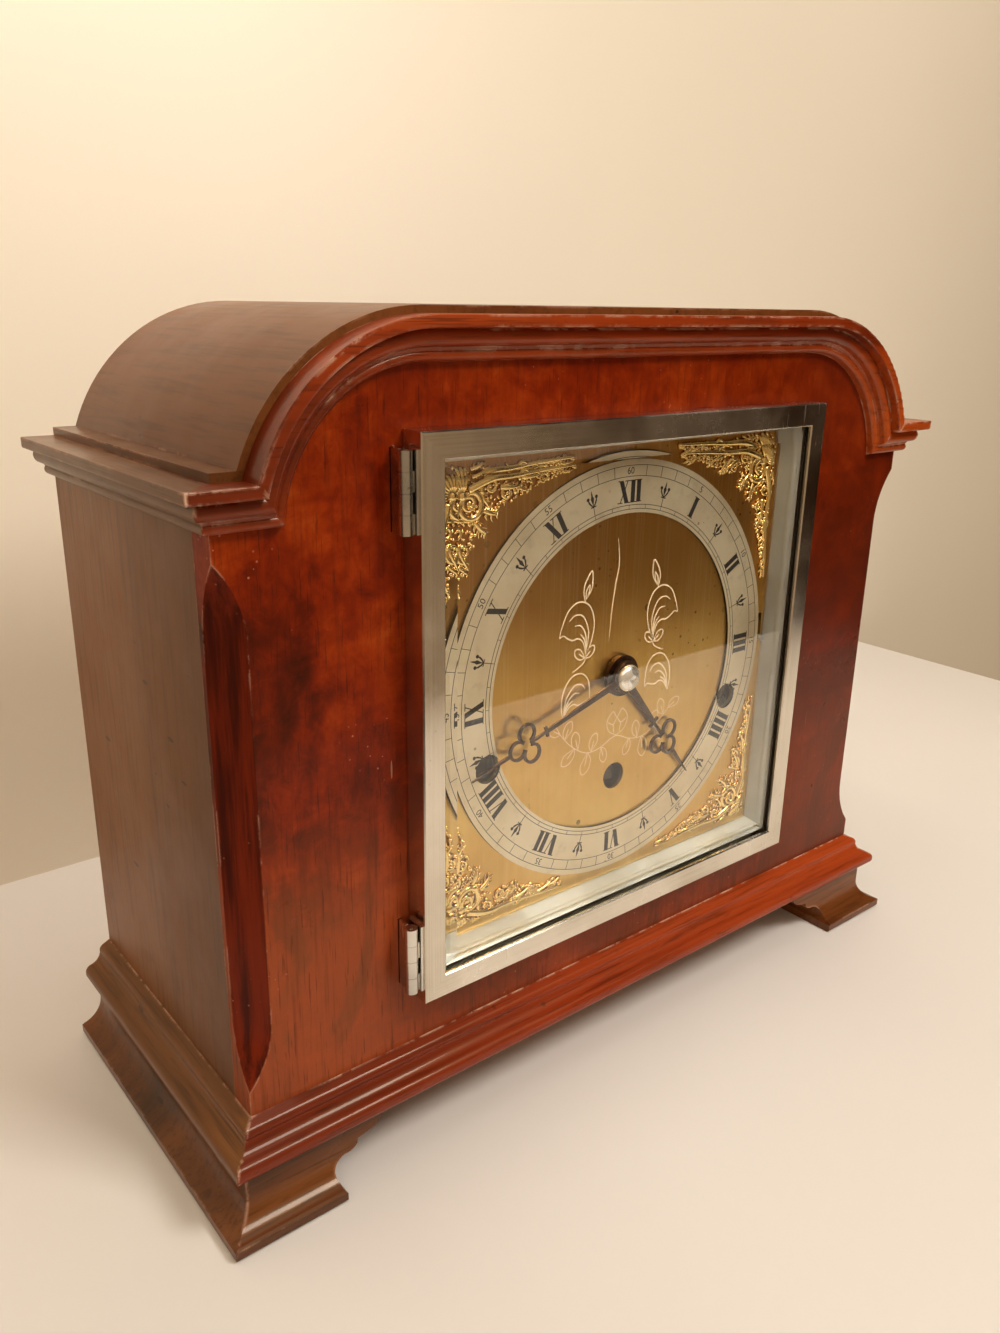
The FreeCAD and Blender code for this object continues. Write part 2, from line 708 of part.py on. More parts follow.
def door_leaf(name, direction, z, spans):
    """A flat leaf screwed to the board or the door, with its knuckles; the board's leaf holds the pin."""
    turns = direction > 0
    y = (board_back, board_back + d.door_leaf_thickness)
    clear = d.door_knuckle + d.door_knuckle_lift
    near, far = door_hinge_x + direction * clear, door_hinge_x + direction * d.door_leaf
    half_length = d.door_hinge_length / 2
    pieces = [block(f"{name}_plate", sorted((near, far)), y, (z - half_length, z + half_length))]
    tab_y = (board_back + d.door_knuckle_lift, board_back + d.door_leaf_thickness)
    tab_near, tab_far = d.door_pin * TAB_SHARE, clear + d.door_pin
    tab_x = sorted((door_hinge_x + direction * tab_far, door_hinge_x + direction * tab_near))
    for number, span in enumerate(spans):
        pieces.append(knuckle(f"{name}_knuckle_{number}", door_hinge_x, door_hinge_y,
                              d.door_knuckle, d.door_pin, span, turns))
        pieces.append(block(f"{name}_tab_{number}", tab_x, tab_y, span))
    if not turns:
        pieces.append(cylinder(f"{name}_pin", "z", (door_hinge_x, door_hinge_y), d.door_pin,
                               (z - half_length, z + half_length)))
    return joined(name, pieces)


def knuckle_spans(z, length, count, first):
    """Every second knuckle of a hinge, from the top down."""
    pitch = length / count
    top = z + length / 2
    return [
        (top - (number + 1) * pitch + d.hinge_joint_gap / 2, top - number * pitch - d.hinge_joint_gap / 2)
        for number in range(first, count, 2)
    ]


DOOR_KNUCKLES = 3
fixed_leaves, moving_leaves = [], []
for level, z in DOOR_HINGES.items():
    length = d.door_hinge_length
    fixed_leaves.append(door_leaf(f"door_fixed_{level}", -1, z, knuckle_spans(z, length, DOOR_KNUCKLES, 0)))
    moving_leaves.append(door_leaf(f"door_moving_{level}", 1, z, knuckle_spans(z, length, DOOR_KNUCKLES, 1)))
subpart(grouped("back_hinge_case_leaves", fixed_leaves))
subpart(grouped("back_hinge_door_leaves", moving_leaves))
KNOB_NECK_SHARE = 0.45
subpart(turned_body("back_door_knob", "y", (door_edge - d.knob_inset, board_back, door_middle), [
    (0, 0), (d.knob_radius * KNOB_NECK_SHARE, 0),
    (d.knob_radius * KNOB_NECK_SHARE, d.knob_length * KNOB_NECK_SHARE),
    (d.knob_radius, d.knob_length * (1 - KNOB_NECK_SHARE)), (d.knob_radius, d.knob_length),
    (0, d.knob_length),
]))


# Bezel: a deep square frame that carries a bevelled glass

def square_frame(section, centre_z):
    """A section of (distance from the centre, y) carried round a square and mitred at its corners."""
    longest = FAR
    sides = []
    for quarter in range(4):
        face = flat_face(section, lambda out, y: vector(-longest, y, out))
        strip = face.extrude(vector(2 * longest, 0, 0))
        wedge = front_prism([(0, 0), (longest, longest), (-longest, longest)], (bezel_front - FAR, back_y))
        side = strip.common(wedge)
        side.rotate(vector(0, 0, 0), vector(0, 1, 0), quarter * 90)
        sides.append(side)
    frame = sides[0].fuse(sides[1:]).removeSplitter()
    frame.translate(vector(d.dial_x, 0, centre_z))
    return frame


def bezel_frame():
    lip_back = bezel_front + d.bezel_lip
    ease = d.edge_round
    section = [
        (bezel_window, lip_back), (bezel_window, bezel_front + ease),
        (bezel_window + ease, bezel_front), (d.bezel_half - ease, bezel_front),
        (d.bezel_half, bezel_front + ease), (d.bezel_half, bezel_back),
        (bezel_rebate, bezel_back), (bezel_rebate, lip_back),
    ]
    return made("bezel_frame", square_frame(section, bezel_z))


def bezel_glass():
    front = bezel_front + d.bezel_lip
    back = front + d.glass_thickness
    step = back - d.glass_edge
    edge = bezel_rebate - d.glass_gap
    inner = bezel_window - d.glass_bevel

    def loop(half_side, y):
        corners = square(bezel_z, half_side)
        return Part.makePolygon([vector(x, y, z) for x, z in corners + corners[:1]])

    slab = front_prism(square(bezel_z, edge), (step, back))
    crown = Part.makeLoft([loop(edge, step), loop(inner, front)], True, True)
    return made("bezel_glass", slab.fuse(crown).removeSplitter())


def bezel_retainer():
    outer = bezel_rebate
    front = bezel_front + d.bezel_lip + d.glass_thickness
    back = front + d.retainer_depth
    inner = outer - d.retainer_width
    section = [(outer, front), (outer, back), (outer - d.retainer_width / 2, back), (inner, front)]
    return made("bezel_retainer", square_frame(section, bezel_z))


subpart(bezel_frame())
subpart(bezel_glass())
subpart(bezel_retainer())

BEZEL_KNUCKLES = 4
case_leaves, bezel_leaves = [], []
for level, z in HINGE_HEIGHTS.items():
    span_z = (z - d.hinge_length / 2, z + d.hinge_length / 2)
    thin = d.hinge_leaf / 2
    leaf_front = hinge_y + d.hinge_knuckle + d.hinge_leaf_gap
    case_pieces = [
        block(f"case_leaf_{level}", (hinge_x - thin, hinge_x + thin),
              (leaf_front, panel_y + d.hinge_leaf_depth), span_z),
        cylinder(f"case_pin_{level}", "z", (hinge_x, hinge_y), d.hinge_pin, span_z),
    ]
    for number, span in enumerate(knuckle_spans(z, d.hinge_length, BEZEL_KNUCKLES, 0)):
        name = f"case_knuckle_{level}_{number}"
        tab_y = (hinge_y + d.hinge_pin * TAB_SHARE, leaf_front + thin)
        case_pieces.append(knuckle(name, hinge_x, hinge_y, d.hinge_knuckle, d.hinge_pin, span, False))
        case_pieces.append(block(f"{name}_tab", (hinge_x - thin, hinge_x + thin), tab_y, span))
    case_leaves.append(joined(f"case_hinge_{level}", case_pieces))
    bezel_left = d.dial_x - d.bezel_half
    plate_x = (bezel_left - d.hinge_leaf, bezel_left)
    door_pieces = [
        block(f"bezel_leaf_{level}", plate_x, (bezel_front + d.hinge_leaf, bezel_back), span_z),
    ]
    for number, span in enumerate(knuckle_spans(z, d.hinge_length, BEZEL_KNUCKLES, 1)):
        name = f"bezel_knuckle_{level}_{number}"
        tab_x = (hinge_x + d.hinge_pin * TAB_SHARE, bezel_left - thin)
        door_pieces.append(knuckle(name, hinge_x, hinge_y, d.hinge_knuckle, d.hinge_pin, span, True))
        door_pieces.append(block(f"{name}_tab", tab_x, (hinge_y - thin, hinge_y + thin), span))
    bezel_leaves.append(joined(f"bezel_hinge_{level}", door_pieces))
subpart(grouped("bezel_hinge_case_leaves", case_leaves))
subpart(grouped("bezel_hinge_door_leaves", bezel_leaves))

# The bezel's catch: a stud on its back that enters a hole in the panel
subpart(cylinder("bezel_catch_stud", "y", (catch_x, bezel_z), d.catch_radius,
                 (bezel_back, bezel_back + d.catch_length)))


# Dial

WINDING = {
    "strike": (d.dial_x - winding_x, winding_z),
    "going": (d.dial_x, dial_z - going_drop),
    "chime": (d.dial_x + winding_x, winding_z),
}
centre = (d.dial_x, dial_z)
lever_x = d.dial_x + dial_half - d.lever_margin
lever_slot = (lever_x - d.lever_slot / 2, lever_x + d.lever_slot / 2)
lever_low = dial_z - d.lever_knob - d.lever_gap
lever_high = dial_z + d.lever_travel + d.lever_knob + d.lever_gap

holes = [(centre, d.winding_hole) for centre in WINDING.values()]
dial_slot = rectangle(lever_slot, (lever_low, lever_high))
dial_outlines = [square(dial_z, dial_half), (centre, d.centre_hole), dial_slot] + holes
dial_sheet = sheet_body("dial_sheet", dial_outlines, (dial_front, dial_back))
CORNERS = ((-1, -1), (1, -1), (1, 1), (-1, 1))
foot_x, foot_z = dial_half - d.dial_foot_side, dial_half - d.dial_foot_end
dial_feet = [
    cylinder(f"dial_foot_{number}", "y", (d.dial_x + x * foot_x, dial_z + z * foot_z),
             d.dial_foot_radius, (dial_back, plate_y))
    for number, (x, z) in enumerate(CORNERS)
]
subpart(joined("dial_plate", [dial_sheet] + dial_feet))

ring = cylinder("ring_outside", "y", centre, ring_radius, (ring_front, dial_front))
through_ring = (ring_front - d.overrun, dial_front + d.overrun)
ring_cuts = [cylinder("ring_inside", "y", centre, ring_bore, through_ring)]
for train in ("strike", "chime"):
    ring_cuts.append(cylinder(f"ring_notch_{train}", "y", WINDING[train], d.winding_hole, through_ring))
subpart(without("chapter_ring", ring, ring_cuts))

# The polished surround rises from the dial to just behind the glass
surround_back = dial_front
surround_top = panel_y - d.surround_front
sight, shoulder = dial_half - d.surround_cover, dial_half - d.surround_edge
flange = dial_half + d.surround_lap
SURROUND_SLOPE_SHARE = 0.42
SURROUND_CROWN_SHARE = 1 / 3
subpart(made("dial_surround", square_frame([
    (sight, surround_back), (sight, surround_back - d.surround_foot),
    (sight + (shoulder - sight) * SURROUND_SLOPE_SHARE, panel_y - d.surround_front * SURROUND_SLOPE_SHARE),
    ((shoulder - (shoulder - sight) * SURROUND_CROWN_SHARE, surround_top + d.surround_foot),
     (shoulder - d.edge_round, surround_top)),
    (shoulder, surround_top + d.edge_round), (shoulder, surround_back - d.surround_foot),
    (flange, surround_back - d.surround_foot), (flange, surround_back),
], bezel_z)))


SPANDREL_LEAVES = 9
LEAF_SHRINK_SHARE = 0.85
LEAF_STEP_SHARE = 1.2
# Leaves in the middle of the spray: distances along both edges, in shares of the corner, and leaf sizes
INNER_LEAF_SHARES = [(0.79, 0.79, 0.75), (0.85, 0.72, 0.6), (0.9, 0.64, 0.5)]


def spandrel(quarter):
    """One cast corner ornament: a leaf spray that fills the corner outside the ring."""
    corner = dial_half - d.spandrel_margin
    y = (dial_front - d.spandrel_thickness, dial_front)
    spots = []
    radius = d.spandrel_leaf
    across = corner - radius
    for _ in range(SPANDREL_LEAVES):
        spots.append((corner - radius, across, radius))
        across -= radius * LEAF_STEP_SHARE
        radius *= LEAF_SHRINK_SHARE
    spots += [(corner * u, corner * v, d.spandrel_leaf * size) for u, v, size in INNER_LEAF_SHARES]
    leaves = []
    for along, across, radius in spots:
        for x, z in ((along, across), (across, along)):
            leaves.append(Part.makeCylinder(radius, y[1] - y[0], vector(x, y[0], z), vector(0, 1, 0)))
    spray = leaves[0].multiFuse(leaves[1:])
    ring_room = Part.makeCylinder(ring_radius + d.spandrel_gap, FAR, vector(0, -FAR, 0), vector(0, 1, 0))
    spray = spray.cut(ring_room).removeSplitter()
    spray.rotate(vector(0, 0, 0), vector(0, 1, 0), quarter * 90)
    spray.translate(vector(d.dial_x, 0, dial_z))
    return made(f"spandrel_{quarter}", spray)


subpart(grouped("spandrels", [spandrel(quarter) for quarter in range(4)]))

# Strike or silent lever: a knob in the slot, on a slide behind the dial
knob = cylinder("lever_knob", "y", (lever_x, dial_z), d.lever_slot / 2 - d.lever_gap,
                (dial_front - d.lever_proud, dial_back + d.lever_gap))
lever_head = cylinder("lever_head", "y", (lever_x, dial_z), d.lever_knob,
                      (dial_front - d.lever_proud, dial_front - d.lever_gap * 2))
slide_z = (dial_z - d.lever_plate, dial_z + d.lever_plate)
slide = block("lever_slide", (lever_x - d.lever_plate / 2, lever_x + d.lever_plate / 2),
              (dial_back + d.lever_gap, dial_back + d.lever_gap + d.lever_plate_thickness), slide_z)
subpart(joined("chime_lever", [knob, lever_head, slide]))


# Hands, drawn upright and then turned to the time the clock shows

HAND_ANGLES = {"hour": 141, "minute": 252}


def disc(centre, radius, y, past=0):
    start = vector(centre[0], y[0] - past, centre[1])
    return Part.makeCylinder(radius, y[1] - y[0] + 2 * past, start, vector(0, 1, 0))


def hand(name, length, blade, front, boss, boss_span, bore, collar_share, loop_share):
    """A tapered blade with a cross collar, an open trefoil and a long point."""
    y = (front, front + d.hand_thickness)
    collar, foot = length * collar_share, length * loop_share
    wire, loop = d.loop_wire, d.loop_radius
    lobe_spread_share = 1.05
    lobe_rise_share = 0.9
    tip_rise_share = 1.4
    collar_width_share = 0.7
    slim_share = 0.25
    point_share = 0.125
    slim, collar_width = blade * slim_share, blade * collar_width_share
    side_lobe = foot + loop * lobe_rise_share
    tip_lobe = side_lobe + loop * tip_rise_share
    top = tip_lobe + loop - wire / 2
    point = wire * point_share
    bars = [
        [(-blade / 2, 0), (blade / 2, 0), (slim, collar), (-slim, collar)],
        rectangle((-collar_width, collar_width), (collar, collar + wire)),
        rectangle((-wire / 2, wire / 2), (collar, side_lobe - wire / 2)),
        [(-slim, top), (slim, top), (point, length), (-point, length)],
    ]
    lobes = [(-loop * lobe_spread_share, side_lobe), (loop * lobe_spread_share, side_lobe), (0, tip_lobe)]
    trefoil = disc(lobes[0], loop, y).multiFuse([disc(lobe, loop, y) for lobe in lobes[1:]])
    hollows = [disc(lobe, loop - wire, y, wire) for lobe in lobes]
    middle = disc((0, side_lobe + wire), loop / 2, y, wire)
    trefoil = trefoil.cut(hollows[0].multiFuse(hollows[1:] + [middle]))
    solids = [front_prism(bar, y) for bar in bars] + [trefoil, disc((0, 0), boss, boss_span)]
    whole = solids[0].multiFuse(solids[1:]).cut(disc((0, 0), bore, (front, front), FAR)).removeSplitter()
    whole.rotate(vector(0, 0, 0), vector(0, 1, 0), HAND_ANGLES[name.split("_")[0]])
    whole.translate(vector(d.dial_x, 0, dial_z))
    return made(name, whole)


pipe_bore = d.cannon_radius + d.running_gap
pipe_radius = pipe_bore + d.pipe_wall
hour_front = panel_y + d.hour_setback
minute_front = panel_y - d.minute_reach
HAND_SHARES = {"hour": (0.46, 0.56), "minute": (0.53, 0.6)}
subpart(hand("hour_hand", ring_bore + d.hour_lap, d.hour_blade, hour_front, d.hour_boss,
             (hour_front, dial_front - d.boss_gap), pipe_radius, *HAND_SHARES["hour"]))
subpart(hand("minute_hand", ring_radius - d.minute_clear, d.minute_blade, minute_front, d.minute_boss,
             (minute_front, hour_front - d.boss_gap), d.cannon_radius, *HAND_SHARES["minute"]))
nut_front = minute_front - d.nut_height
NUT_RIM_SHARE = 0.3
NUT_CROWN_SHARE = 0.55
subpart(turned_body("hand_nut", "y", (d.dial_x, minute_front, dial_z), [
    (0, 0), (d.nut_radius, 0), (d.nut_radius, -d.nut_height * NUT_RIM_SHARE),
    (d.nut_radius * NUT_CROWN_SHARE, -d.nut_height), (d.nut_pip, -d.nut_height),
    (d.nut_pip, -d.nut_height - d.nut_pip), (0, -d.nut_height - d.nut_pip),
]))


# Toothed wheels. Angles run from X towards Z, as seen from the front

CANNON_TEETH = 12
MINUTE_WHEEL_TEETH = 36
MINUTE_PINION_TEETH = 10
HOUR_WHEEL_TEETH = 40
CENTRE_PINION_TEETH = 8
GREAT_WHEEL_TEETH = 72
RATCHET_TEETH = 20
TOOTH_TOP_SHARE = 0.75
TOOTH_FOOT_SHARE = 1.2
# Half widths of a tooth at its foot, at the pitch circle and at its tip, in shares of the pitch
TOOTH_WIDTH_SHARES = (0.29, 0.2, 0.09)


def module(distance, first, second):
    return 2 * distance / (first + second)


def polar(centre, radius, angle):
    return (centre[0] + radius * math.cos(angle), centre[1] + radius * math.sin(angle))


def gear(centre, teeth, size, y, first_tooth, hole=0):
    """A toothed wheel whose first tooth points at an angle; size is its module."""
    pitch = 2 * math.pi / teeth
    middle = size * teeth / 2
    radii = (middle - size * TOOTH_FOOT_SHARE, middle, middle + size * TOOTH_TOP_SHARE)
    outline = []
    for tooth in range(teeth):
        angle = first_tooth + tooth * pitch
        flank = list(zip(radii, TOOTH_WIDTH_SHARES))
        outline += [polar(centre, radius, angle - share * pitch) for radius, share in flank]
        outline += [polar(centre, radius, angle + share * pitch) for radius, share in reversed(flank)]
    wheel = front_prism(outline, y)
    return wheel.cut(disc(centre, hole, y, d.overrun)) if hole else wheel


def meshing_tooth(direction, teeth, first_tooth, follower_teeth):
    """The follower's first tooth, so that its gaps meet the leader's teeth along a direction."""
    turn = 2 * math.pi
    phase = (direction - first_tooth) * teeth / turn
    return direction + math.pi - (0.5 - phase) * turn / follower_teeth


motion_module = module(d.motion_distance, CANNON_TEETH, MINUTE_WHEEL_TEETH)
hour_module = module(d.motion_distance, MINUTE_PINION_TEETH, HOUR_WHEEL_TEETH)
post_centre = (d.dial_x + d.motion_distance, dial_z)
hour_wheel_front = panel_y + d.hour_wheel_setback
minute_wheel_front = panel_y + d.minute_wheel_setback
hour_wheel_y = (hour_wheel_front, hour_wheel_front + d.wheel_thickness)
minute_wheel_y = (minute_wheel_front, minute_wheel_front + d.wheel_thickness)
UPRIGHT = math.pi / 2

hour_pipe = cylinder("hour_pipe", "y", centre, pipe_radius, (hour_front, hour_wheel_y[1]))
hour_pipe_bore = cylinder("hour_pipe_bore", "y", centre, pipe_bore,
                          (hour_front - d.overrun, hour_wheel_y[1] + d.overrun))
hour_tooth = meshing_tooth(math.pi, MINUTE_PINION_TEETH, UPRIGHT, HOUR_WHEEL_TEETH)
hour_teeth = made("hour_teeth", gear(centre, HOUR_WHEEL_TEETH, hour_module, hour_wheel_y, hour_tooth))
subpart(without("hour_wheel", joined("hour_whole", [hour_pipe, hour_teeth]), [hour_pipe_bore]))

cannon_back = minute_wheel_y[1] + d.running_gap
cannon_pipe = cylinder("cannon_pipe", "y", centre, d.cannon_radius, (minute_front, cannon_back))
cannon_teeth = made("cannon_teeth", gear(centre, CANNON_TEETH, motion_module,
                                         (cannon_back - d.pinion_length, cannon_back), UPRIGHT))
cannon_bore = cylinder("cannon_bore", "y", centre, d.centre_arbor,
                       (minute_front - d.overrun, cannon_back + d.overrun))
subpart(without("cannon_pinion", joined("cannon_whole", [cannon_pipe, cannon_teeth]), [cannon_bore]))

minute_tooth = meshing_tooth(0, CANNON_TEETH, UPRIGHT, MINUTE_WHEEL_TEETH)
minute_teeth = made("minute_teeth", gear(post_centre, MINUTE_WHEEL_TEETH, motion_module,
                                         minute_wheel_y, minute_tooth))
minute_pinion = made("minute_pinion", gear(post_centre, MINUTE_PINION_TEETH, hour_module,
                                           (hour_wheel_y[0] - d.running_gap, minute_wheel_y[0]), UPRIGHT))
minute_bore = cylinder("minute_bore", "y", post_centre, d.motion_post + d.running_gap, (dial_front, plate_y))
subpart(without("minute_wheel", joined("minute_whole", [minute_teeth, minute_pinion]), [minute_bore]))

# The centre arbor carries the cannon pinion in front and the centre pinion between the plates
train_module = module(going_drop, CENTRE_PINION_TEETH, GREAT_WHEEL_TEETH)
barrel_y = (plate_y_back + d.barrel_front_gap, rear_plate_y - d.barrel_back_gap)
back_wheel_y = (barrel_y[1], barrel_y[1] + d.great_wheel_thickness)
centre_pinion_y = (back_wheel_y[0] - d.wheel_gap, back_wheel_y[1] + d.wheel_gap)
centre_teeth = made("centre_teeth", gear(centre, CENTRE_PINION_TEETH, train_module,
                                         centre_pinion_y, UPRIGHT))
arbor_bar = cylinder("centre_bar", "y", centre, d.centre_arbor, (minute_front, rear_plate_back))
subpart(joined("centre_arbor", [arbor_bar, centre_teeth]))


# Movement: two plates held apart by posts, and three barrels between them

balance_x = d.dial_x + ring_bore * BALANCE_X_SHARE
balance_z = dial_z + ring_bore * BALANCE_RISE_SHARE
balance_centre = (balance_x, balance_z)
plate_x = (d.dial_x - plate_half_width, d.dial_x + plate_half_width)
plate_outline = rectangle(plate_x, (plate_low, plate_high))


def running(radius):
    return radius + d.running_gap


plate_holes = [(centre, running(d.centre_arbor))]
plate_holes += [(spot, running(d.winding_arbor)) for spot in WINDING.values()]
subpart(sheet_body("movement_plate_front", [plate_outline] + plate_holes, (plate_y, plate_y_back)))
subpart(sheet_body("movement_plate_rear", [plate_outline] + plate_holes, (rear_plate_y, rear_plate_back)))

shaft_end = last_rod_y + d.hammer_hub_length
hammer_x = plate_x[1] - d.hammer_inset
hammer_z = plate_low + d.hammer_rise
hammer_centre = (hammer_x, hammer_z)
posts = []
for number, (x, z) in enumerate(CORNERS):
    spot = (d.dial_x + x * (plate_half_width - d.post_inset),
            (plate_low + d.post_inset) if z < 0 else (plate_high - d.post_inset))
    posts.append(cylinder(f"post_{number}", "y", spot, d.post_radius, (plate_y_back, rear_plate_y)))
posts.append(cylinder("motion_post", "y", post_centre, d.motion_post,
                      (hour_wheel_y[0] - d.wheel_gap, plate_y)))
posts.append(cylinder("hammer_shaft", "y", hammer_centre, d.hammer_shaft, (rear_plate_back, shaft_end)))
subpart(grouped("movement_posts", posts))


def barrel(train, spot, wheel_y, first_tooth):
    """A spring barrel with its great wheel on one end, free to turn on the winding arbor."""
    rim = barrel_radius
    low, high = 0, barrel_y[1] - barrel_y[0]
    drum = turned_body(f"{train}_drum", "y", (spot[0], barrel_y[0], spot[1]), [
        (running(d.winding_arbor), low), (rim, low), (rim, d.barrel_rim_length),
        (rim - d.barrel_rim, d.barrel_rim_length), (rim - d.barrel_rim, high - d.barrel_rim_length),
        (rim, high - d.barrel_rim_length), (rim, high), (running(d.winding_arbor), high),
    ])
    teeth = gear(spot, GREAT_WHEEL_TEETH, train_module, wheel_y, first_tooth, running(d.winding_arbor))
    wheel = made(f"{train}_great_wheel", teeth)
    return joined(f"{train}_barrel", [drum, wheel])


def winding_arbor(train, spot):
    """A round arbor with a winding square in front and a ratchet wheel behind the rear plate."""
    square_end = panel_y + d.square_setback
    edge = d.winding_square / 2
    ratchet_y = (rear_plate_back + d.wheel_gap, rear_plate_back + d.wheel_gap + d.ratchet_thickness)
    bar = cylinder(f"{train}_bar", "y", spot, d.winding_arbor, (plate_y, ratchet_y[1] + d.overrun))
    head = block(f"{train}_square", (spot[0] - edge, spot[0] + edge), (square_end, plate_y),
                 (spot[1] - edge, spot[1] + edge))
    foot_share = 0.86
    outline = []
    for tooth in range(RATCHET_TEETH):
        angle = tooth * 2 * math.pi / RATCHET_TEETH
        outline.append(polar(spot, d.ratchet_radius * foot_share, angle))
        outline.append(polar(spot, d.ratchet_radius, angle))
    ratchet = made(f"{train}_ratchet", front_prism(outline, ratchet_y))
    return joined(f"{train}_winding_arbor", [bar, head, ratchet])


front_wheel_y = (barrel_y[0] - d.great_wheel_thickness, barrel_y[0])
going_tooth = meshing_tooth(-UPRIGHT, CENTRE_PINION_TEETH, UPRIGHT, GREAT_WHEEL_TEETH)
for train, spot in WINDING.items():
    wheel_y = back_wheel_y if train == "going" else front_wheel_y
    subpart(barrel(train, spot, wheel_y, going_tooth if train == "going" else UPRIGHT))
    subpart(winding_arbor(train, spot))

# Platform with the balance, on the rear plate
platform_y = (rear_plate_back, rear_plate_back + d.platform_thickness)
balance_y = (platform_y[1] + d.balance_gap, platform_y[1] + d.balance_gap + d.balance_thickness)
cock_y = (balance_y[1] + d.balance_gap, balance_y[1] + d.balance_gap + d.cock_thickness)
staff_hole = running(d.balance_staff)
platform_disc = cylinder("platform_disc", "y", balance_centre, d.platform_radius, platform_y)
cock_x = (balance_x - d.cock_width / 2, balance_x + d.cock_width / 2)
cock_top = balance_z + d.platform_radius - d.overrun
cock_bar = block("cock_bar", cock_x, cock_y, (balance_z - d.cock_width / 2, cock_top))
cock_foot = block("cock_foot", cock_x, (platform_y[1], cock_y[1]), (cock_top - d.cock_width / 2, cock_top))
staff_bore = cylinder("staff_bore", "y", balance_centre, staff_hole,
                      (platform_y[0] - d.overrun, cock_y[1] + d.overrun))
platform_whole = joined("platform_whole", [platform_disc, cock_bar, cock_foot])
subpart(without("balance_platform", platform_whole, [staff_bore]))
rim_outside = cylinder("balance_rim_outside", "y", balance_centre, d.balance_radius, balance_y)
rim_inside = cylinder("balance_rim_inside", "y", balance_centre, d.balance_radius - d.balance_rim,
                      (balance_y[0] - d.overrun, balance_y[1] + d.overrun))
balance_rim = without("balance_rim", rim_outside, [rim_inside])
arm_reach, arm_edge = d.balance_radius - d.balance_rim / 2, d.balance_rim / 2
balance_arm = block("balance_arm", (balance_x - arm_reach, balance_x + arm_reach), balance_y,
                    (balance_z - arm_edge, balance_z + arm_edge))
balance_bar = cylinder("balance_bar", "y", balance_centre, d.balance_staff,
                       (platform_y[0] + d.overrun, cock_y[1]))
subpart(joined("balance_wheel", [balance_rim, balance_arm, balance_bar]))


# Hammers over the chime rods

rod_z = base_top + d.rod_rise
rod_top = rod_z + d.rod_radius
for number, y in enumerate(rod_ys, start=1):
    hub_y = (y - d.hammer_hub_length / 2, y + d.hammer_hub_length / 2)
    hub = cylinder(f"hammer_{number}_hub", "y", hammer_centre, d.hammer_hub, hub_y)
    head_x = hammer_x + d.hammer_arm
    arm = cylinder(f"hammer_{number}_arm", "x", (y, hammer_z), d.hammer_wire, (hammer_x, head_x))
    head_low = rod_top + d.hammer_gap
    stem = cylinder(f"hammer_{number}_stem", "z", (head_x, y), d.hammer_stem,
                    (head_low, hammer_z + d.hammer_stem))
    head = cylinder(f"hammer_{number}_head", "z", (head_x, y), d.hammer_head,
                    (head_low, head_low + d.hammer_head_height))
    bore = cylinder(f"hammer_{number}_bore", "y", hammer_centre, running(d.hammer_shaft),
                    (hub_y[0] - d.overrun, hub_y[1] + d.overrun))
    hammer = joined(f"hammer_{number}_whole", [hub, arm, stem, head])
    subpart(without(f"chime_hammer_{number}", hammer, [bore]))

block_x = (inner_half - d.block_side - d.block_length, inner_half - d.block_side)
longest_end = d.rod_end_gap - inner_half
rods = [
    cylinder(f"rod_{number}", "x", (y, rod_z), d.rod_radius,
             (longest_end + number * d.rod_step, block_x[0]))
    for number, y in enumerate(rod_ys)
]
subpart(grouped("chime_rods", rods))
block_y = (rod_ys[0] - d.block_margin, last_rod_y + d.block_margin)
subpart(block("chime_block", block_x, block_y, (base_top, base_top + d.block_height)))
subpart(block("seat_board", (-inner_half, inner_half), (plate_y, rear_plate_back),
              (plate_low - d.seat_thickness, plate_low)))


# Check every piece, then write it

doc.recompute()
for thing in doc.Objects:
    faults = {"Invalid", "Error"} & set(thing.State)
    if faults:
        raise RuntimeError(f"{thing.Label}: {sorted(faults)}")
os.makedirs("parts", exist_ok=True)
for piece in subparts:
    if piece.Shape.isNull() or not piece.Shape.isValid() or not piece.Shape.Solids:
        raise RuntimeError(f"{piece.Label}: no valid solid")
for piece in subparts:
    piece.Shape.exportStep(f"parts/{piece.Label}.step")
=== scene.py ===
import json
import math
import random

import bpy
from mathutils import Matrix, Vector


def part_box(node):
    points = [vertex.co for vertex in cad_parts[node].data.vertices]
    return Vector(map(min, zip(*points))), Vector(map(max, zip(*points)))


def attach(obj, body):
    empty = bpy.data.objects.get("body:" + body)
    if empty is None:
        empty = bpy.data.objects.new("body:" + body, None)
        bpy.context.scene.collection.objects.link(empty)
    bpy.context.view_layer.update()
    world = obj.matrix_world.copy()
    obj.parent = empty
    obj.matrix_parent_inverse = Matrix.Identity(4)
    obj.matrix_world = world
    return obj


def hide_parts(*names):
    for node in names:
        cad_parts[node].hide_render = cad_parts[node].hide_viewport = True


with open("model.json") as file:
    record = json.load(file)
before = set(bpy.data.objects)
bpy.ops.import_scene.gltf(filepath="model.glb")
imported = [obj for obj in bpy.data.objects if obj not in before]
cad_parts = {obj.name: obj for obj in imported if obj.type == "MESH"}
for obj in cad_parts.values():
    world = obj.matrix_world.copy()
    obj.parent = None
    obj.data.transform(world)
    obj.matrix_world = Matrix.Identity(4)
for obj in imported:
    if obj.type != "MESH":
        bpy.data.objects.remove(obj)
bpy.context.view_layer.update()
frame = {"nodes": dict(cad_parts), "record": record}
nodes = frame["nodes"]
MM = 0.001


# Node graphs

FACTOR, FIRST_COLOUR, SECOND_COLOUR = 0, 6, 7  # sockets of the colour Mix node


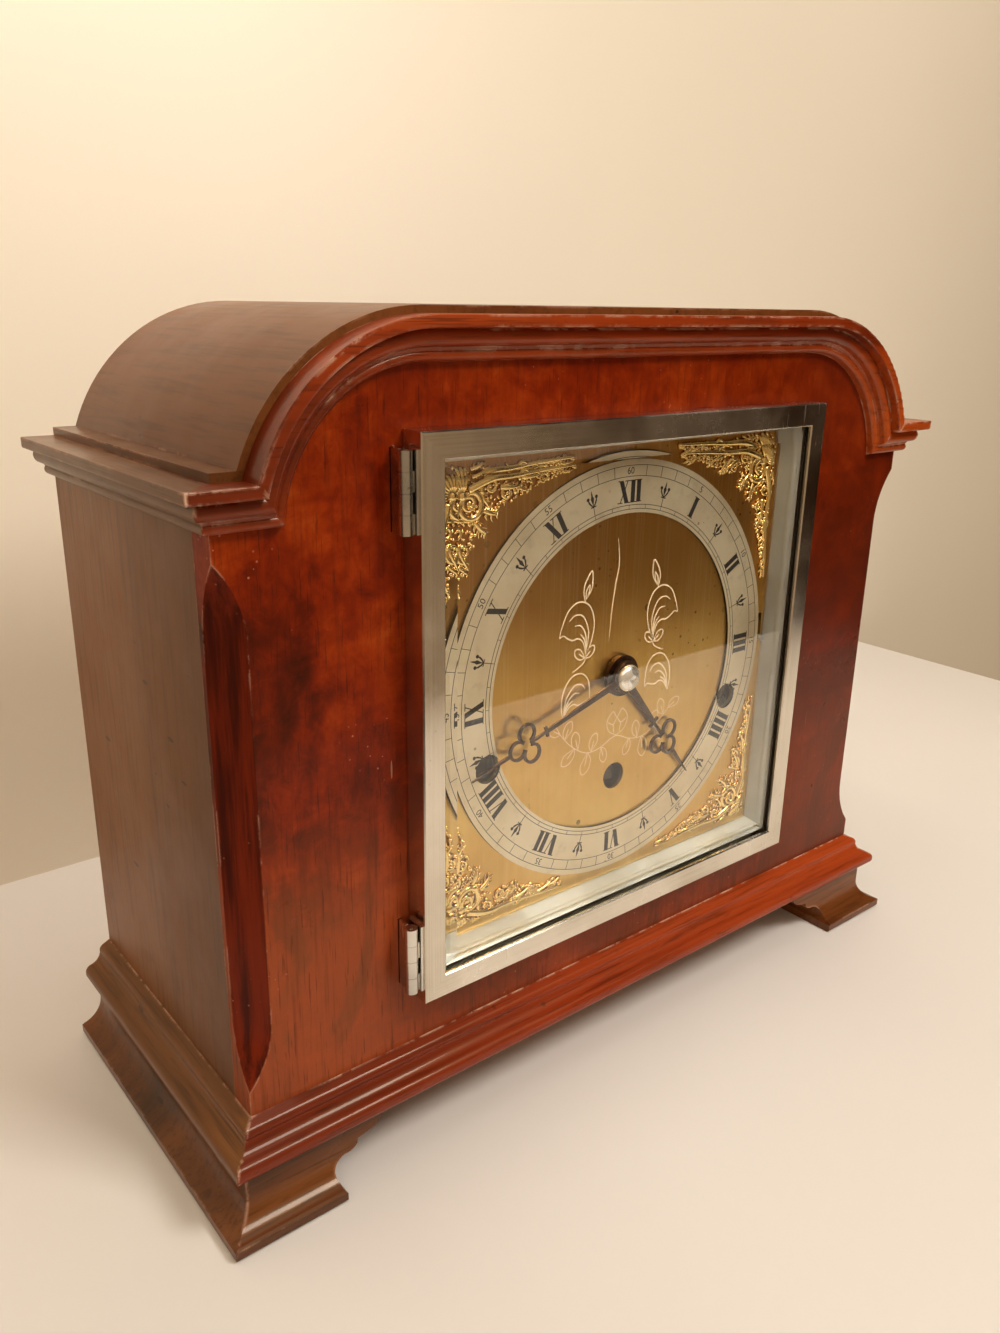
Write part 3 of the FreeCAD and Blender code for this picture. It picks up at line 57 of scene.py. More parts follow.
class Nodes:
    """A node tree, with short calls for the nodes that the finishes and the room share."""

    def __init__(self, tree):
        self.tree = tree

    def new(self, kind, **settings):
        node = self.tree.nodes.new(kind)
        for key, value in settings.items():
            setattr(node, key, value)
        return node

    def link(self, value, socket):
        """Joins an output to a socket, or sets the socket to a number or a colour."""
        if isinstance(value, bpy.types.NodeSocket):
            self.tree.links.new(value, socket)
        elif isinstance(value, tuple) and len(value) == 3:
            socket.default_value = (*value, 1)
        else:
            socket.default_value = value

    def fed(self, kind, values, **settings):
        """A new node with its first inputs filled."""
        node = self.new(kind, **settings)
        for socket, value in zip(node.inputs, values):
            self.link(value, socket)
        return node

    def maths(self, operation, *values):
        return self.fed("ShaderNodeMath", values, operation=operation).outputs[0]

    def chain(self, operation, first, others):
        for value in others:
            first = self.maths(operation, first, value)
        return first

    def times(self, first, *others):
        return self.chain("MULTIPLY", first, others)

    def plus(self, first, *others):
        return self.chain("ADD", first, others)

    def less(self, first, *others):
        return self.chain("SUBTRACT", first, others)

    def larger(self, first, second):
        return self.maths("MAXIMUM", first, second)

    def absolute(self, value):
        return self.maths("ABSOLUTE", value)

    def split(self, vector):
        return self.fed("ShaderNodeSeparateXYZ", (vector,)).outputs

    def steps(self, value, low, high, start=0.0, end=1.0):
        """Eases from start to end while the value goes from low to high."""
        return self.fed("ShaderNodeMapRange", (value, low, high, start, end),
                        interpolation_type="SMOOTHSTEP").outputs[0]

    def colours(self, value, stops):
        node = self.fed("ShaderNodeValToRGB", (value,))
        ramp = node.color_ramp
        while len(ramp.elements) < len(stops):
            ramp.elements.new(0.5)
        for element, (position, colour) in zip(ramp.elements, stops):
            element.position = position
            element.color = (*colour, 1)
        return node.outputs[0]

    def bounced(self, path):
        """1 for rays that did more than pass through the glass."""
        return self.maths("GREATER_THAN", path.outputs["Ray Depth"], path.outputs["Transmission Depth"])

    def surface(self, share, first, second, output):
        """Shows the second shader in place of the first by a share."""
        mix = self.fed("ShaderNodeMixShader", (share, first, second))
        self.link(mix.outputs[0], output.inputs["Surface"])


class Graph(Nodes):
    """A material, with the textures that its finishes share."""

    def __init__(self, name):
        self.material = bpy.data.materials.new(name)
        self.material.use_nodes = True
        super().__init__(self.material.node_tree)
        self.shader = self.tree.nodes["Principled BSDF"]
        self.output = self.tree.nodes["Material Output"]
        self.place = self.new("ShaderNodeTexCoord").outputs["Object"]

    def stretched(self, scale, turn):
        node = self.new("ShaderNodeMapping")
        self.link(self.place, node.inputs["Vector"])
        node.inputs["Scale"].default_value = scale
        node.inputs["Rotation"].default_value = turn
        return node.outputs[0]

    def noise(self, scale, stretch=(1, 1, 1), detail=4.0, rough=0.55, warp=0.0, turn=(0, 0, 0)):
        node = self.new("ShaderNodeTexNoise")
        for key, value in (("Vector", self.stretched(stretch, turn)), ("Scale", scale), ("Detail", detail),
                           ("Roughness", rough), ("Distortion", warp)):
            self.link(value, node.inputs[key])
        return node.outputs[0]

    def spots(self, scale, size, stretch=(1, 1, 1), turn=(0, 0, 0)):
        """Scattered flecks: 1 inside a fleck, 0 outside."""
        node = self.new("ShaderNodeTexVoronoi")
        self.link(self.stretched(stretch, turn), node.inputs["Vector"])
        node.inputs["Scale"].default_value = scale
        return self.maths("LESS_THAN", node.outputs["Distance"], size)

    def patchy(self, marks, scale, low, high, share=1.0):
        """Keeps marks only where a broad noise is high."""
        return self.times(marks, self.steps(self.noise(scale), low, high, end=share))

    def facing(self, axis):
        """How squarely the true surface looks along x, y or z (0 to 2), from 0 to 1."""
        normal = self.new("ShaderNodeNewGeometry").outputs["True Normal"]
        return self.absolute(self.split(normal)[axis])

    def blend(self, share, first, second):
        node = self.new("ShaderNodeMix", data_type="RGBA", blend_type="MIX")
        for index, value in ((FACTOR, share), (FIRST_COLOUR, first), (SECOND_COLOUR, second)):
            self.link(value, node.inputs[index])
        return node.outputs[2]

    def bump(self, height, strength, distance):
        """Adds relief over the relief that is there already."""
        node = self.new("ShaderNodeBump")
        node.inputs["Strength"].default_value = strength
        node.inputs["Distance"].default_value = distance
        self.link(height, node.inputs["Height"])
        previous = self.shader.inputs["Normal"]
        if previous.is_linked:
            self.link(previous.links[0].from_socket, node.inputs["Normal"])
        self.link(node.outputs[0], previous)

    def set(self, **values):
        """Fills the shader's own sockets, named with _ for a space."""
        for key, value in values.items():
            self.link(value, self.shader.inputs[key.replace("_", " ")])
        return self.material


def drawn(axis, share):
    """A stretch that draws a pattern out along one axis."""
    return tuple(share if name == axis else 1 for name in "xyz")


def shade(colour, share):
    return tuple(c * share for c in colour)


def edge_wear(g, width=1.2 * MM):
    """1 near convex edges, from the rounded normal against the true one."""
    flat, worn_through = 0.995, 0.88
    bevel = g.new("ShaderNodeBevel", samples=4)
    bevel.inputs["Radius"].default_value = width
    normal = g.new("ShaderNodeNewGeometry").outputs["True Normal"]
    dot = g.fed("ShaderNodeVectorMath", (bevel.outputs[0], normal), operation="DOT_PRODUCT")
    return g.steps(dot.outputs["Value"], flat, worn_through)


# Woods

# Edge colours: the dull one is rubbed-through polish; the pale one is partly rubbed wood and partly painted
# highlight
DULL_EDGE, PALE_WEAR_AND_HIGHLIGHT = (0.52, 0.29, 0.19), (0.66, 0.42, 0.30)


def wood(name, tones, grain, figure, gloss, coat, coat_rough, wear, edge_colour=DULL_EDGE, pores=0.5,
         nicks=0.0):
    """A polished wood: dark, middle and light tones, with its grain along one axis."""
    g = Graph(name)
    dark, middle, light = tones
    cloud = g.noise(figure, drawn(grain, 0.06), 3.0, 0.5, warp=0.6)
    streak = g.noise(520.0, drawn(grain, 0.06), 3.0, 0.6)
    line = g.noise(1500.0, drawn(grain, 0.02), 2.0, 0.5)
    short = g.noise(700.0, drawn(grain, 0.10), 2.0, 0.5)
    colour = g.colours(g.steps(cloud, 0.3, 0.7), [(0.0, dark), (0.5, middle), (1.0, light)])
    colour = g.blend(g.steps(streak, 0.45, 0.75, end=0.5), colour, shade(dark, 0.45))
    pore = g.larger(g.steps(line, 0.63, 0.7, end=pores), g.steps(short, 0.65, 0.72, end=0.6 * pores))
    colour = g.blend(pore, colour, shade(dark, 0.25))
    # Edges are rubbed through in stretches; on the mouldings and the plinth the pale edge colour is also a
    # painted highlight along their edges
    patch = g.steps(g.noise(120.0, rough=0.7), 0.44, 0.56, end=wear)
    worn = g.times(edge_wear(g), g.patchy(patch, 26.0, 0.40, 0.54))
    colour = g.blend(worn, colour, edge_colour)
    if nicks:
        dent = g.patchy(g.spots(110.0, 0.11, (1, 0.45, 1.4), (0.4, 0.2, 0.7)), 31.0, 0.52, 0.6)
        colour = g.blend(g.times(dent, nicks), colour, shade(dark, 0.12))
        g.bump(g.less(1.0, dent), 0.5, 0.3 * MM)
    g.bump(streak, 0.05, 0.1 * MM)
    g.bump(g.noise(25.0, detail=2.0, rough=0.5), 0.12, 1.2 * MM)
    rough = g.steps(g.noise(14.0, detail=5.0, rough=0.65), 0.3, 0.7, gloss - 0.06, gloss + 0.1)
    return g.set(Base_Color=colour, Roughness=g.plus(rough, g.times(worn, 0.25)), Specular_IOR_Level=0.3,
                 Specular_Tint=(1.0, 0.72, 0.42), Coat_Weight=coat, Coat_Roughness=coat_rough)


def figured_veneer():
    """The front: clouded red veneer, smoky at the left, mottled below, with dark chamfers and worn edges."""
    g = Graph("figured_veneer")
    x, y, z = g.split(g.place)  # steps on these are places in metres
    cloud = g.noise(12.0, (1, 1, 0.8), 5.0, 0.6, 1.6)
    mottle = g.noise(52.0, (0.8, 1, 1.2), 4.0, 0.65, 1.2)
    drift = g.noise(17.0, (1.6, 1, 0.42), 4.0, 0.6, 2.2, (0, 0.35, 0))
    grain = g.noise(620.0, drawn("z", 0.035), 3.0, 0.6)
    pore = g.noise(1500.0, drawn("z", 0.045), 2.0, 0.5)
    fine = g.noise(170.0, drawn("z", 0.7), 4.0, 0.7, 0.8)
    figure = g.plus(g.times(cloud, 0.50), g.times(mottle, 0.26), g.times(fine, 0.25))
    # Smoke drifts over the middle of the left side and the foot; the arch above stays bright
    smoke = g.times(g.steps(x, 0.02, -0.105), g.steps(z, 0.095, 0.13), g.steps(z, 0.205, 0.165),
                    g.steps(g.noise(9.0, (1.3, 1, 0.6), warp=0.8), 0.42, 0.56, end=0.15))
    foot = g.steps(z, 0.13, 0.07)
    figure = g.less(figure, smoke, g.times(g.steps(drift, 0.5, 0.64, end=0.2), foot))
    figure = g.plus(figure, g.steps(z, 0.185, 0.235, end=0.04))
    figure = g.less(figure, g.steps(x, 0.0, 0.11, end=0.07))
    colour = g.colours(figure, [
        (0.30, (0.030, 0.003, 0.001)), (0.41, (0.10, 0.007, 0.001)), (0.49, (0.19, 0.014, 0.001)),
        (0.57, (0.28, 0.030, 0.002)), (0.70, (0.42, 0.078, 0.010)),
    ])
    colour = g.blend(g.times(foot, g.steps(x, -0.06, -0.115, 0.30, 0.56)), colour, (0.37, 0.095, 0.030))
    colour = g.blend(g.steps(grain, 0.48, 0.74, end=0.38), colour, (0.055, 0.007, 0.003))
    colour = g.blend(g.steps(pore, 0.6, 0.68, end=0.5), colour, (0.03, 0.005, 0.003))
    colour = g.blend(g.steps(x, -0.05, 0.12, end=0.45), colour, (0.10, 0.013, 0.002))
    # The chamfers lie behind the front face and inside the sides
    behind, outward, inward = (-0.04996, -0.04975), (0.1335, 0.1338), (0.14199, 0.1418)
    wide = g.absolute(x)
    chamfer = g.times(g.steps(y, *behind), g.steps(wide, *outward), g.steps(wide, *inward))
    streak = g.steps(g.noise(260.0, drawn("z", 0.06), 4.0, 0.65), 0.35, 0.65)
    colour = g.blend(chamfer, colour, g.blend(streak, (0.045, 0.002, 0.0005), (0.17, 0.013, 0.001)))
    patch = g.steps(g.noise(110.0, drawn("z", 0.7), 4.0, 0.7), 0.47, 0.57, end=0.9)
    worn = g.times(edge_wear(g, 0.8 * MM), g.patchy(patch, 34.0, 0.44, 0.56))
    colour = g.blend(worn, colour, (0.55, 0.30, 0.20))
    # Dust flecks and short pale scratches in the polish
    fleck = g.patchy(g.spots(330.0, 0.10), 30.0, 0.52, 0.66)
    scratch = g.patchy(g.spots(120.0, 0.035, drawn("z", 0.10), (0, 0.25, 0)), 19.0, 0.5, 0.62)
    marks = g.times(g.larger(fleck, scratch), 0.5)
    colour = g.blend(marks, colour, (0.55, 0.27, 0.17))
    g.bump(grain, 0.04, 0.1 * MM)
    g.bump(g.noise(16.0, detail=2.0, rough=0.5), 0.10, 1.5 * MM)
    rough = g.steps(g.noise(20.0, detail=5.0, rough=0.6), 0.3, 0.7, 0.26, 0.42)
    rough = g.plus(g.plus(rough, g.steps(g.facing(0), 0.5, 0.6, end=0.3)), g.times(marks, 0.3))
    return g.set(Base_Color=colour, Roughness=rough, Specular_IOR_Level=0.25, Specular_Tint=(1.0, 0.60, 0.35),
                 Coat_Weight=0.08, Coat_Roughness=0.10)


# Metals

def metal(name, colour, rough, metallic=1.0, spots=0.0, spot_colour=(0.05, 0.04, 0.03), cloud=0.12,
          scratches=0.0, fine_bump=0.0):
    """A clouded metal with fine scratches and tarnish spots where they are asked for."""
    g = Graph(name)
    patch = g.noise(38.0, rough=0.6)
    base = g.blend(g.steps(patch, 0.3, 0.75), colour, shade(colour, 1 - 2.2 * cloud))
    finish = g.steps(patch, 0.3, 0.7, rough - 0.25 * rough, rough + 0.3 * rough)
    if scratches:
        tilt = 0.7
        first = g.noise(1300.0, drawn("z", 0.012), 2.0, 0.5, turn=(0, tilt, 0))
        second = g.noise(900.0, drawn("z", 0.02), 2.0, 0.5, turn=(0, -2.2 * tilt, 0))
        lines = g.patchy(g.larger(g.steps(first, 0.64, 0.72), g.steps(second, 0.67, 0.74)), 22.0, 0.36, 0.6)
        base = g.blend(g.times(lines, scratches), base, tuple(min(1.0, c * 1.35) for c in colour))
        finish = g.plus(finish, g.times(lines, 0.3))
        g.bump(lines, 0.25 * scratches, 0.06 * MM)
    if spots:
        mark = g.patchy(g.spots(150.0, 0.16), 26.0, 0.5, 0.6)
        speck = g.patchy(g.spots(420.0, 0.15), 40.0, 0.55, 0.66)
        mark = g.times(g.larger(mark, speck), spots)
        base = g.blend(mark, base, spot_colour)
        finish = g.plus(finish, g.times(mark, 0.35))
    if fine_bump:
        g.bump(g.noise(900.0, drawn("z", 0.02), 2.0, 0.5), fine_bump, 0.05 * MM)
    return g.set(Base_Color=base, Roughness=finish, Metallic=metallic)


def brushed_bezel():
    """Nickelled bars brushed along their length, mitred, with slanting scratches about the corners."""
    g = Graph("bezel_metal")
    low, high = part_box("bezel_frame")
    x, _, z = g.split(g.place)
    along = g.absolute(g.less(x, (low[0] + high[0]) / 2))
    rise = g.absolute(g.less(z, (low[2] + high[2]) / 2))
    level = g.maths("GREATER_THAN", rise, along)
    upright = g.noise(1500.0, drawn("z", 0.008), 3.0, 0.6)
    flat = g.noise(1500.0, drawn("x", 0.008), 3.0, 0.6)
    brush = g.plus(g.times(flat, level), g.times(upright, g.less(1.0, level)))
    patch = g.noise(30.0, detail=5.0, rough=0.6)
    colour = g.colours(g.steps(patch, 0.3, 0.7), [(0.0, (0.60, 0.54, 0.44)), (1.0, (0.80, 0.74, 0.64))])
    colour = g.blend(g.steps(brush, 0.35, 0.65, end=0.3), colour, (0.90, 0.86, 0.78))
    corner = g.steps(g.absolute(g.less(along, rise)), 0.035, 0.0)
    slant = g.larger(g.steps(g.noise(900.0, drawn("z", 0.010), 2.0, 0.5, turn=(0, 0.8, 0)), 0.66, 0.72),
                     g.steps(g.noise(700.0, drawn("z", 0.014), 2.0, 0.5, turn=(0, -0.5, 0)), 0.67, 0.73))
    slant = g.times(slant, g.patchy(corner, 24.0, 0.4, 0.6))
    colour = g.blend(g.times(slant, 0.7), colour, (0.97, 0.94, 0.88))
    speck = g.patchy(g.spots(420.0, 0.13), 40.0, 0.56, 0.66, share=0.4)
    colour = g.blend(speck, colour, (0.12, 0.09, 0.06))
    g.bump(brush, 0.16, 0.03 * MM)
    g.bump(slant, 0.2, 0.05 * MM)
    rough = g.plus(g.steps(patch, 0.3, 0.7, 0.17, 0.28), g.times(slant, 0.25))
    return g.set(Base_Color=colour, Roughness=rough, Metallic=1.0, Anisotropic=0.3)


def dial_brass():
    """Vertically grained brass, spotted where its lacquer has aged, with its upper part painted darker and
    browner as a painted reflection of the dark room.
    """
    g = Graph("dial_brass")
    z = g.split(g.place)[2]
    grain = g.noise(1500.0, drawn("z", 0.006), 2.0, 0.5)
    broad = g.noise(240.0, drawn("z", 0.02), 2.0, 0.5)
    cloud = g.noise(24.0, rough=0.6)
    colour = g.colours(g.plus(g.times(broad, 0.16), g.times(cloud, 0.84)), [
        (0.30, (0.61, 0.36, 0.090)), (0.50, (0.76, 0.485, 0.14)), (0.70, (0.86, 0.605, 0.20))])
    # Painted reflection: the upper part of the dial is darkened towards brown for the dark room that it
    # mirrors
    colour = g.blend(g.steps(z, 0.12, 0.19, end=0.75), colour, (0.44, 0.18, 0.036))
    colour = g.blend(g.steps(grain, 0.5, 0.72, end=0.22), colour, (0.82, 0.60, 0.30))
    spot = g.patchy(g.spots(110.0, 0.13), 21.0, 0.5, 0.62)
    speck = g.patchy(g.spots(300.0, 0.15), 33.0, 0.5, 0.64)
    mark = g.times(g.larger(spot, speck), 0.75)
    brown_or_green = g.colours(g.noise(70.0), [(0.4, (0.10, 0.045, 0.012)), (0.6, (0.16, 0.13, 0.05))])
    colour = g.blend(mark, colour, brown_or_green)
    g.bump(grain, 0.10, 0.03 * MM)
    rough = g.plus(g.steps(cloud, 0.3, 0.7, 0.30, 0.36), g.times(mark, 0.4))
    return g.set(Base_Color=colour, Roughness=rough, Metallic=1.0, Anisotropic=0.4)


def silvered_ring():
    """Silvering, clouded and freckled, with rims that stay dull and dark."""
    g = Graph("silvered_ring")
    cloud = g.noise(20.0, detail=5.0, rough=0.62)
    fine = g.noise(240.0, detail=3.0, rough=0.6)
    colour = g.colours(cloud, [
        (0.33, (0.64, 0.53, 0.35)), (0.5, (0.79, 0.68, 0.48)), (0.68, (0.88, 0.79, 0.60))])
    colour = g.blend(g.steps(fine, 0.55, 0.75, end=0.3), colour, (0.48, 0.41, 0.28))
    wash = g.patchy(g.spots(85.0, 0.2), 17.0, 0.52, 0.6, share=0.5)
    colour = g.blend(wash, colour, (0.85, 0.78, 0.55))
    brown = g.patchy(g.spots(260.0, 0.13), 29.0, 0.56, 0.66, share=0.6)
    colour = g.blend(brown, colour, (0.22, 0.13, 0.06))
    colour = g.blend(g.steps(g.facing(1), 0.8, 0.6), colour, (0.05, 0.035, 0.018))
    g.bump(fine, 0.08, 0.05 * MM)
    return g.set(Base_Color=colour, Roughness=g.steps(cloud, 0.3, 0.7, 0.34, 0.46), Metallic=0.85)


def gilding():
    """Gilt cast ornament: full gold on the open places, with painted shade that turns it dark brown in the
    hollows.
    """
    g = Graph("gilt_casting")
    # Painted shade: ambient occlusion darkens the gilt to brown in the hollows and the gaps between the
    # ornament
    hollow_shade = g.new("ShaderNodeAmbientOcclusion", samples=6)
    hollow_shade.inputs["Distance"].default_value = 1.2 * MM
    grit = g.noise(900.0, detail=3.0, rough=0.6)
    colour = g.blend(g.steps(hollow_shade.outputs["AO"], 0.35, 0.85), (0.46, 0.22, 0.04), (1.0, 0.74, 0.30))
    colour = g.blend(g.steps(grit, 0.6, 0.8, end=0.4), colour, (0.34, 0.17, 0.05))
    g.bump(grit, 0.45, 0.1 * MM)
    return g.set(Base_Color=colour, Roughness=g.steps(g.noise(160.0), 0.35, 0.7, 0.12, 0.24), Metallic=1.0)


def glass():
    g = Graph("dial_glass")
    g.set(Base_Color=(0.985, 0.995, 0.99), Roughness=0.0, Transmission_Weight=1.0, IOR=1.5)
    # Shadow rays pass straight through, so that the dial behind is lit
    shadow = g.new("ShaderNodeLightPath").outputs["Is Shadow Ray"]
    clear = g.fed("ShaderNodeBsdfTransparent", ((0.93, 0.95, 0.93),))
    g.surface(shadow, g.shader.outputs[0], clear.outputs[0], g.output)
    return g.material


def ink(name, colour):
    g = Graph(name)
    wear = g.noise(700.0, detail=3.0, rough=0.6)
    paler = tuple(min(1, c * 2 + 0.02) for c in colour)
    return g.set(Base_Color=g.blend(g.steps(wear, 0.5, 0.8, end=0.35), colour, paler),
                 Roughness=g.steps(wear, 0.3, 0.7, 0.4, 0.6))


WOODS = {
    "side_veneer": dict(
        tones=((0.115, 0.038, 0.009), (0.17, 0.058, 0.013), (0.23, 0.080, 0.018)), grain="z", figure=9.0,
        gloss=0.40, coat=0.15, coat_rough=0.24, wear=0.5, pores=0.2, nicks=0.6),
    "roof_veneer": dict(
        tones=((0.105, 0.031, 0.008), (0.145, 0.045, 0.011), (0.185, 0.060, 0.014)), grain="y", figure=9.0,
        gloss=0.38, coat=0.15, coat_rough=0.20, wear=0.6, pores=0.15, nicks=0.8),
    "moulding_wood": dict(
        tones=((0.10, 0.010, 0.002), (0.28, 0.034, 0.004), (0.44, 0.080, 0.011)), grain="x", figure=22.0,
        gloss=0.36, coat=0.25, coat_rough=0.06, wear=1.0, edge_colour=PALE_WEAR_AND_HIGHLIGHT, nicks=0.3),
    "side_moulding_wood": dict(
        tones=((0.060, 0.018, 0.005), (0.12, 0.040, 0.009), (0.18, 0.064, 0.014)), grain="y", figure=20.0,
        gloss=0.34, coat=0.25, coat_rough=0.12, wear=0.9, nicks=0.7),
    "plinth_wood": dict(
        tones=((0.085, 0.008, 0.002), (0.27, 0.029, 0.004), (0.42, 0.060, 0.009)), grain="x", figure=16.0,
        gloss=0.38, coat=0.22, coat_rough=0.05, wear=0.95, edge_colour=PALE_WEAR_AND_HIGHLIGHT, pores=0.55, nicks=0.4),
    "foot_wood": dict(
        tones=((0.040, 0.012, 0.004), (0.125, 0.036, 0.008), (0.21, 0.066, 0.015)), grain="x", figure=20.0,
        gloss=0.30, coat=0.3, coat_rough=0.12, wear=0.7, nicks=0.6),
    "plain_wood": dict(
        tones=((0.22, 0.12, 0.055), (0.33, 0.19, 0.09), (0.42, 0.26, 0.13)), grain="z", figure=12.0,
        gloss=0.62, coat=0.0, coat_rough=0.3, wear=0.3, edge_colour=(0.5, 0.34, 0.19), pores=0.2),
}
METALS = {
    "small_brass": dict(colour=(0.62, 0.42, 0.17), rough=0.28, spots=0.6),
    "retainer_metal": dict(colour=(0.50, 0.46, 0.40), rough=0.38),
    "hinge_metal": dict(colour=(0.78, 0.75, 0.69), rough=0.20, spots=0.5, cloud=0.2, scratches=0.5),
    "surround_metal": dict(colour=(0.60, 0.60, 0.56), rough=0.42, cloud=0.06, scratches=0.15),
    "steel": dict(colour=(0.42, 0.42, 0.43), rough=0.32, spots=0.3, fine_bump=0.1),
    "hand_metal": dict(colour=(0.085, 0.050, 0.034), rough=0.34, spots=0.4, spot_colour=(0.20, 0.12, 0.07)),
    "nut_metal": dict(colour=(1.0, 0.98, 0.94), rough=0.27, spots=0.1, cloud=0.03),
    "wheel_brass": dict(colour=(0.70, 0.50, 0.22), rough=0.26, spots=0.25, fine_bump=0.1),
    "plate_brass": dict(colour=(0.68, 0.49, 0.22), rough=0.30, spots=0.3, fine_bump=0.15),
    "rod_bronze": dict(colour=(0.50, 0.30, 0.14), rough=0.34, spots=0.4),
    "block_iron": dict(colour=(0.06, 0.06, 0.06), rough=0.55, spots=0.4, spot_colour=(0.14, 0.07, 0.03)),
}
finishes = {name: wood(name, **row) for name, row in WOODS.items()}
finishes.update({name: metal(name, **row) for name, row in METALS.items()})
finishes.update(figured_veneer=figured_veneer(), bezel_metal=brushed_bezel(), dial_glass=glass(),
                dial_brass=dial_brass(), silvered_ring=silvered_ring(), gilt_casting=gilding())
numeral_ink = ink("numeral_ink", (0.012, 0.008, 0.007))
line_ink = ink("line_ink", (0.030, 0.020, 0.013))
cut_line = metal("cut_line", (1.0, 0.78, 0.52), 0.5, metallic=0.15, cloud=0.05)
rubbed_line = metal("rubbed_line", (0.95, 0.70, 0.42), 0.5, metallic=0.3, cloud=0.05)
# Dark steel for the winding arbors: partly their own blued colour, partly painted shade for the inside of the
# winding holes
dark_steel = metal("dark_steel", (0.07, 0.06, 0.055), 0.4, spots=0.4)

# A node wears its slot's finish, apart from the few that look unlike the rest of their slot
others = {f"{train}_winding_arbor": dark_steel for train in ("going", "strike", "chime")}
others["roof_ledges"] = finishes["side_moulding_wood"]
slots = {row["node"]: row["material_slot"] for row in frame["record"]["subparts"]}
for name, node in nodes.items():
    for slot in node.material_slots:
        slot.material = others.get(name, finishes[slots[name]])


# Mesh pieces

def placed_object(name, data):
    made = bpy.data.objects.new(name, data)
    bpy.context.scene.collection.objects.link(made)
    return made


def piece(name, points, faces, finish, body, smooth=False):
    mesh = bpy.data.meshes.new(name)
    mesh.from_pydata([tuple(v) for v in points], [], faces)
    mesh.validate()
    mesh.materials.append(finish)
    if smooth:
        mesh.polygons.foreach_set("use_smooth", [True] * len(mesh.polygons))
    mesh.update()
    made = placed_object(name, mesh)
    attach(made, body)
    return made


def band(first, second, count):
    """Quads between two closed rings of points that start at these indices."""
    return [(first + k, first + (k + 1) % count, second + (k + 1) % count, second + k) for k in range(count)]


class Flat:
    """Thin raised shapes on a plane of constant y, drawn in x and z millimetres about a centre."""

    def __init__(self, centre, front, back):
        self.centre, self.front, self.back = centre, front, back
        self.points, self.faces = [], []

    def add(self, outline):
        """The outline's points on the front plane, then on the back plane."""
        across, up = self.centre
        for y in (self.front, self.back):
            self.points += [((across + x) * MM, y * MM, (up + z) * MM) for x, z in outline]

    def prism(self, outline):
        """An outline of (x, z) points about the centre, in any turning sense, as a closed thin solid."""
        area = sum(a[0] * b[1] - b[0] * a[1] for a, b in zip(outline, outline[1:] + outline[:1]))
        if area < 0:
            outline = outline[::-1]
        start, count = len(self.points), len(outline)
        self.add(outline)
        self.faces.append(tuple(range(start, start + count)))
        self.faces.append(tuple(range(start + 2 * count - 1, start + count - 1, -1)))
        for k in range(count):
            n = (k + 1) % count
            self.faces.append((start + n, start + k, start + count + k, start + count + n))

    def ribbon(self, path, widths, closed=False):
        """A line of one width, or of a width at each point, as a closed thin solid."""
        count = len(path)
        sides = []
        for k, (x, z) in enumerate(path):
            before = path[k - 1] if (k or closed) else path[k]
            after = path[(k + 1) % count] if (k < count - 1 or closed) else path[k]
            dx, dz = after[0] - before[0], after[1] - before[1]
            length = math.hypot(dx, dz) or 1.0
            w = (widths[k] if isinstance(widths, list) else widths) / 2
            sides += [(x - dz / length * w, z + dx / length * w), (x + dz / length * w, z - dx / length * w)]
        start, deep = len(self.points), 2 * count
        self.add(sides)
        for k in range(count if closed else count - 1):
            a, b = start + 2 * k, start + 2 * ((k + 1) % count)
            self.faces += [(a, a + 1, b + 1, b), (a + deep, b + deep, b + 1 + deep, a + 1 + deep),
                           (a, b, b + deep, a + deep), (a + 1, a + 1 + deep, b + 1 + deep, b + 1)]
        if not closed:
            a, b = start, start + 2 * (count - 1)
            self.faces += [(a + 1, a, a + deep, a + 1 + deep), (b, b + 1, b + 1 + deep, b + deep)]

    def made(self, name, finish, slot):
        return piece(name, self.points, self.faces, finish, "case")


def curve(controls, steps=10):
    """A smooth line through control points (Catmull-Rom)."""
    def between(p, q, r, s, t):
        return 0.5 * (2 * q + (r - p) * t + (2 * p - 5 * q + 4 * r - s) * t * t
                      + (3 * q - p - 3 * r + s) * t ** 3)

    padded = [controls[0], *controls, controls[-1]]
    line = []
    for four in zip(padded, padded[1:], padded[2:], padded[3:]):
        line += [tuple(between(*values, k / steps) for values in zip(*four)) for k in range(steps)]
    line.append(tuple(controls[-1]))
    return line


def ring_line(radius, count=240):
    return [(radius * math.sin(2 * math.pi * k / count), radius * math.cos(2 * math.pi * k / count))
            for k in range(count)]


def round_dial(angle, radius, across=0.0):
    """A point on the dial: clockwise degrees from twelve, distance from the centre, and a step clockwise."""
    a = math.radians(angle)
    return (radius * math.sin(a) + across * math.cos(a), radius * math.cos(a) - across * math.sin(a))


# Printing on the chapter ring, in millimetres

DIAL = (-2.6, 138.4)
RING_FRONT, PRINT, SUNK = -48.4, 0.03, 0.01
NUMERAL_LOW, NUMERAL_HIGH = 57.1, 63.9
TRACK = (65.2, 68.6)
QUARTER_TRACK = (54.9, 56.2)
TRACK_LINE, MINUTE_LINE, QUARTER_LINE = 0.2, 0.19, 0.16

bold = Flat(DIAL, RING_FRONT - PRINT, RING_FRONT + SUNK)
fine = Flat(DIAL, RING_FRONT - PRINT, RING_FRONT + SUNK)
for radius in (*TRACK, *QUARTER_TRACK):
    fine.ribbon(ring_line(radius), TRACK_LINE, closed=True)
for minute in range(60):
    if minute % 5:
        fine.ribbon([round_dial(6 * minute, radius) for radius in TRACK], MINUTE_LINE)
for quarter in range(48):
    fine.ribbon([round_dial(7.5 * quarter, radius) for radius in QUARTER_TRACK], QUARTER_LINE)

# A numeral's letters stand side by side with their feet to the centre
THICK, THIN, SERIF = 1.75, 0.36, 0.3
NUMERALS = ["XII", "I", "II", "III", "IIII", "V", "VI", "VII", "VIII", "IX", "X", "XI"]
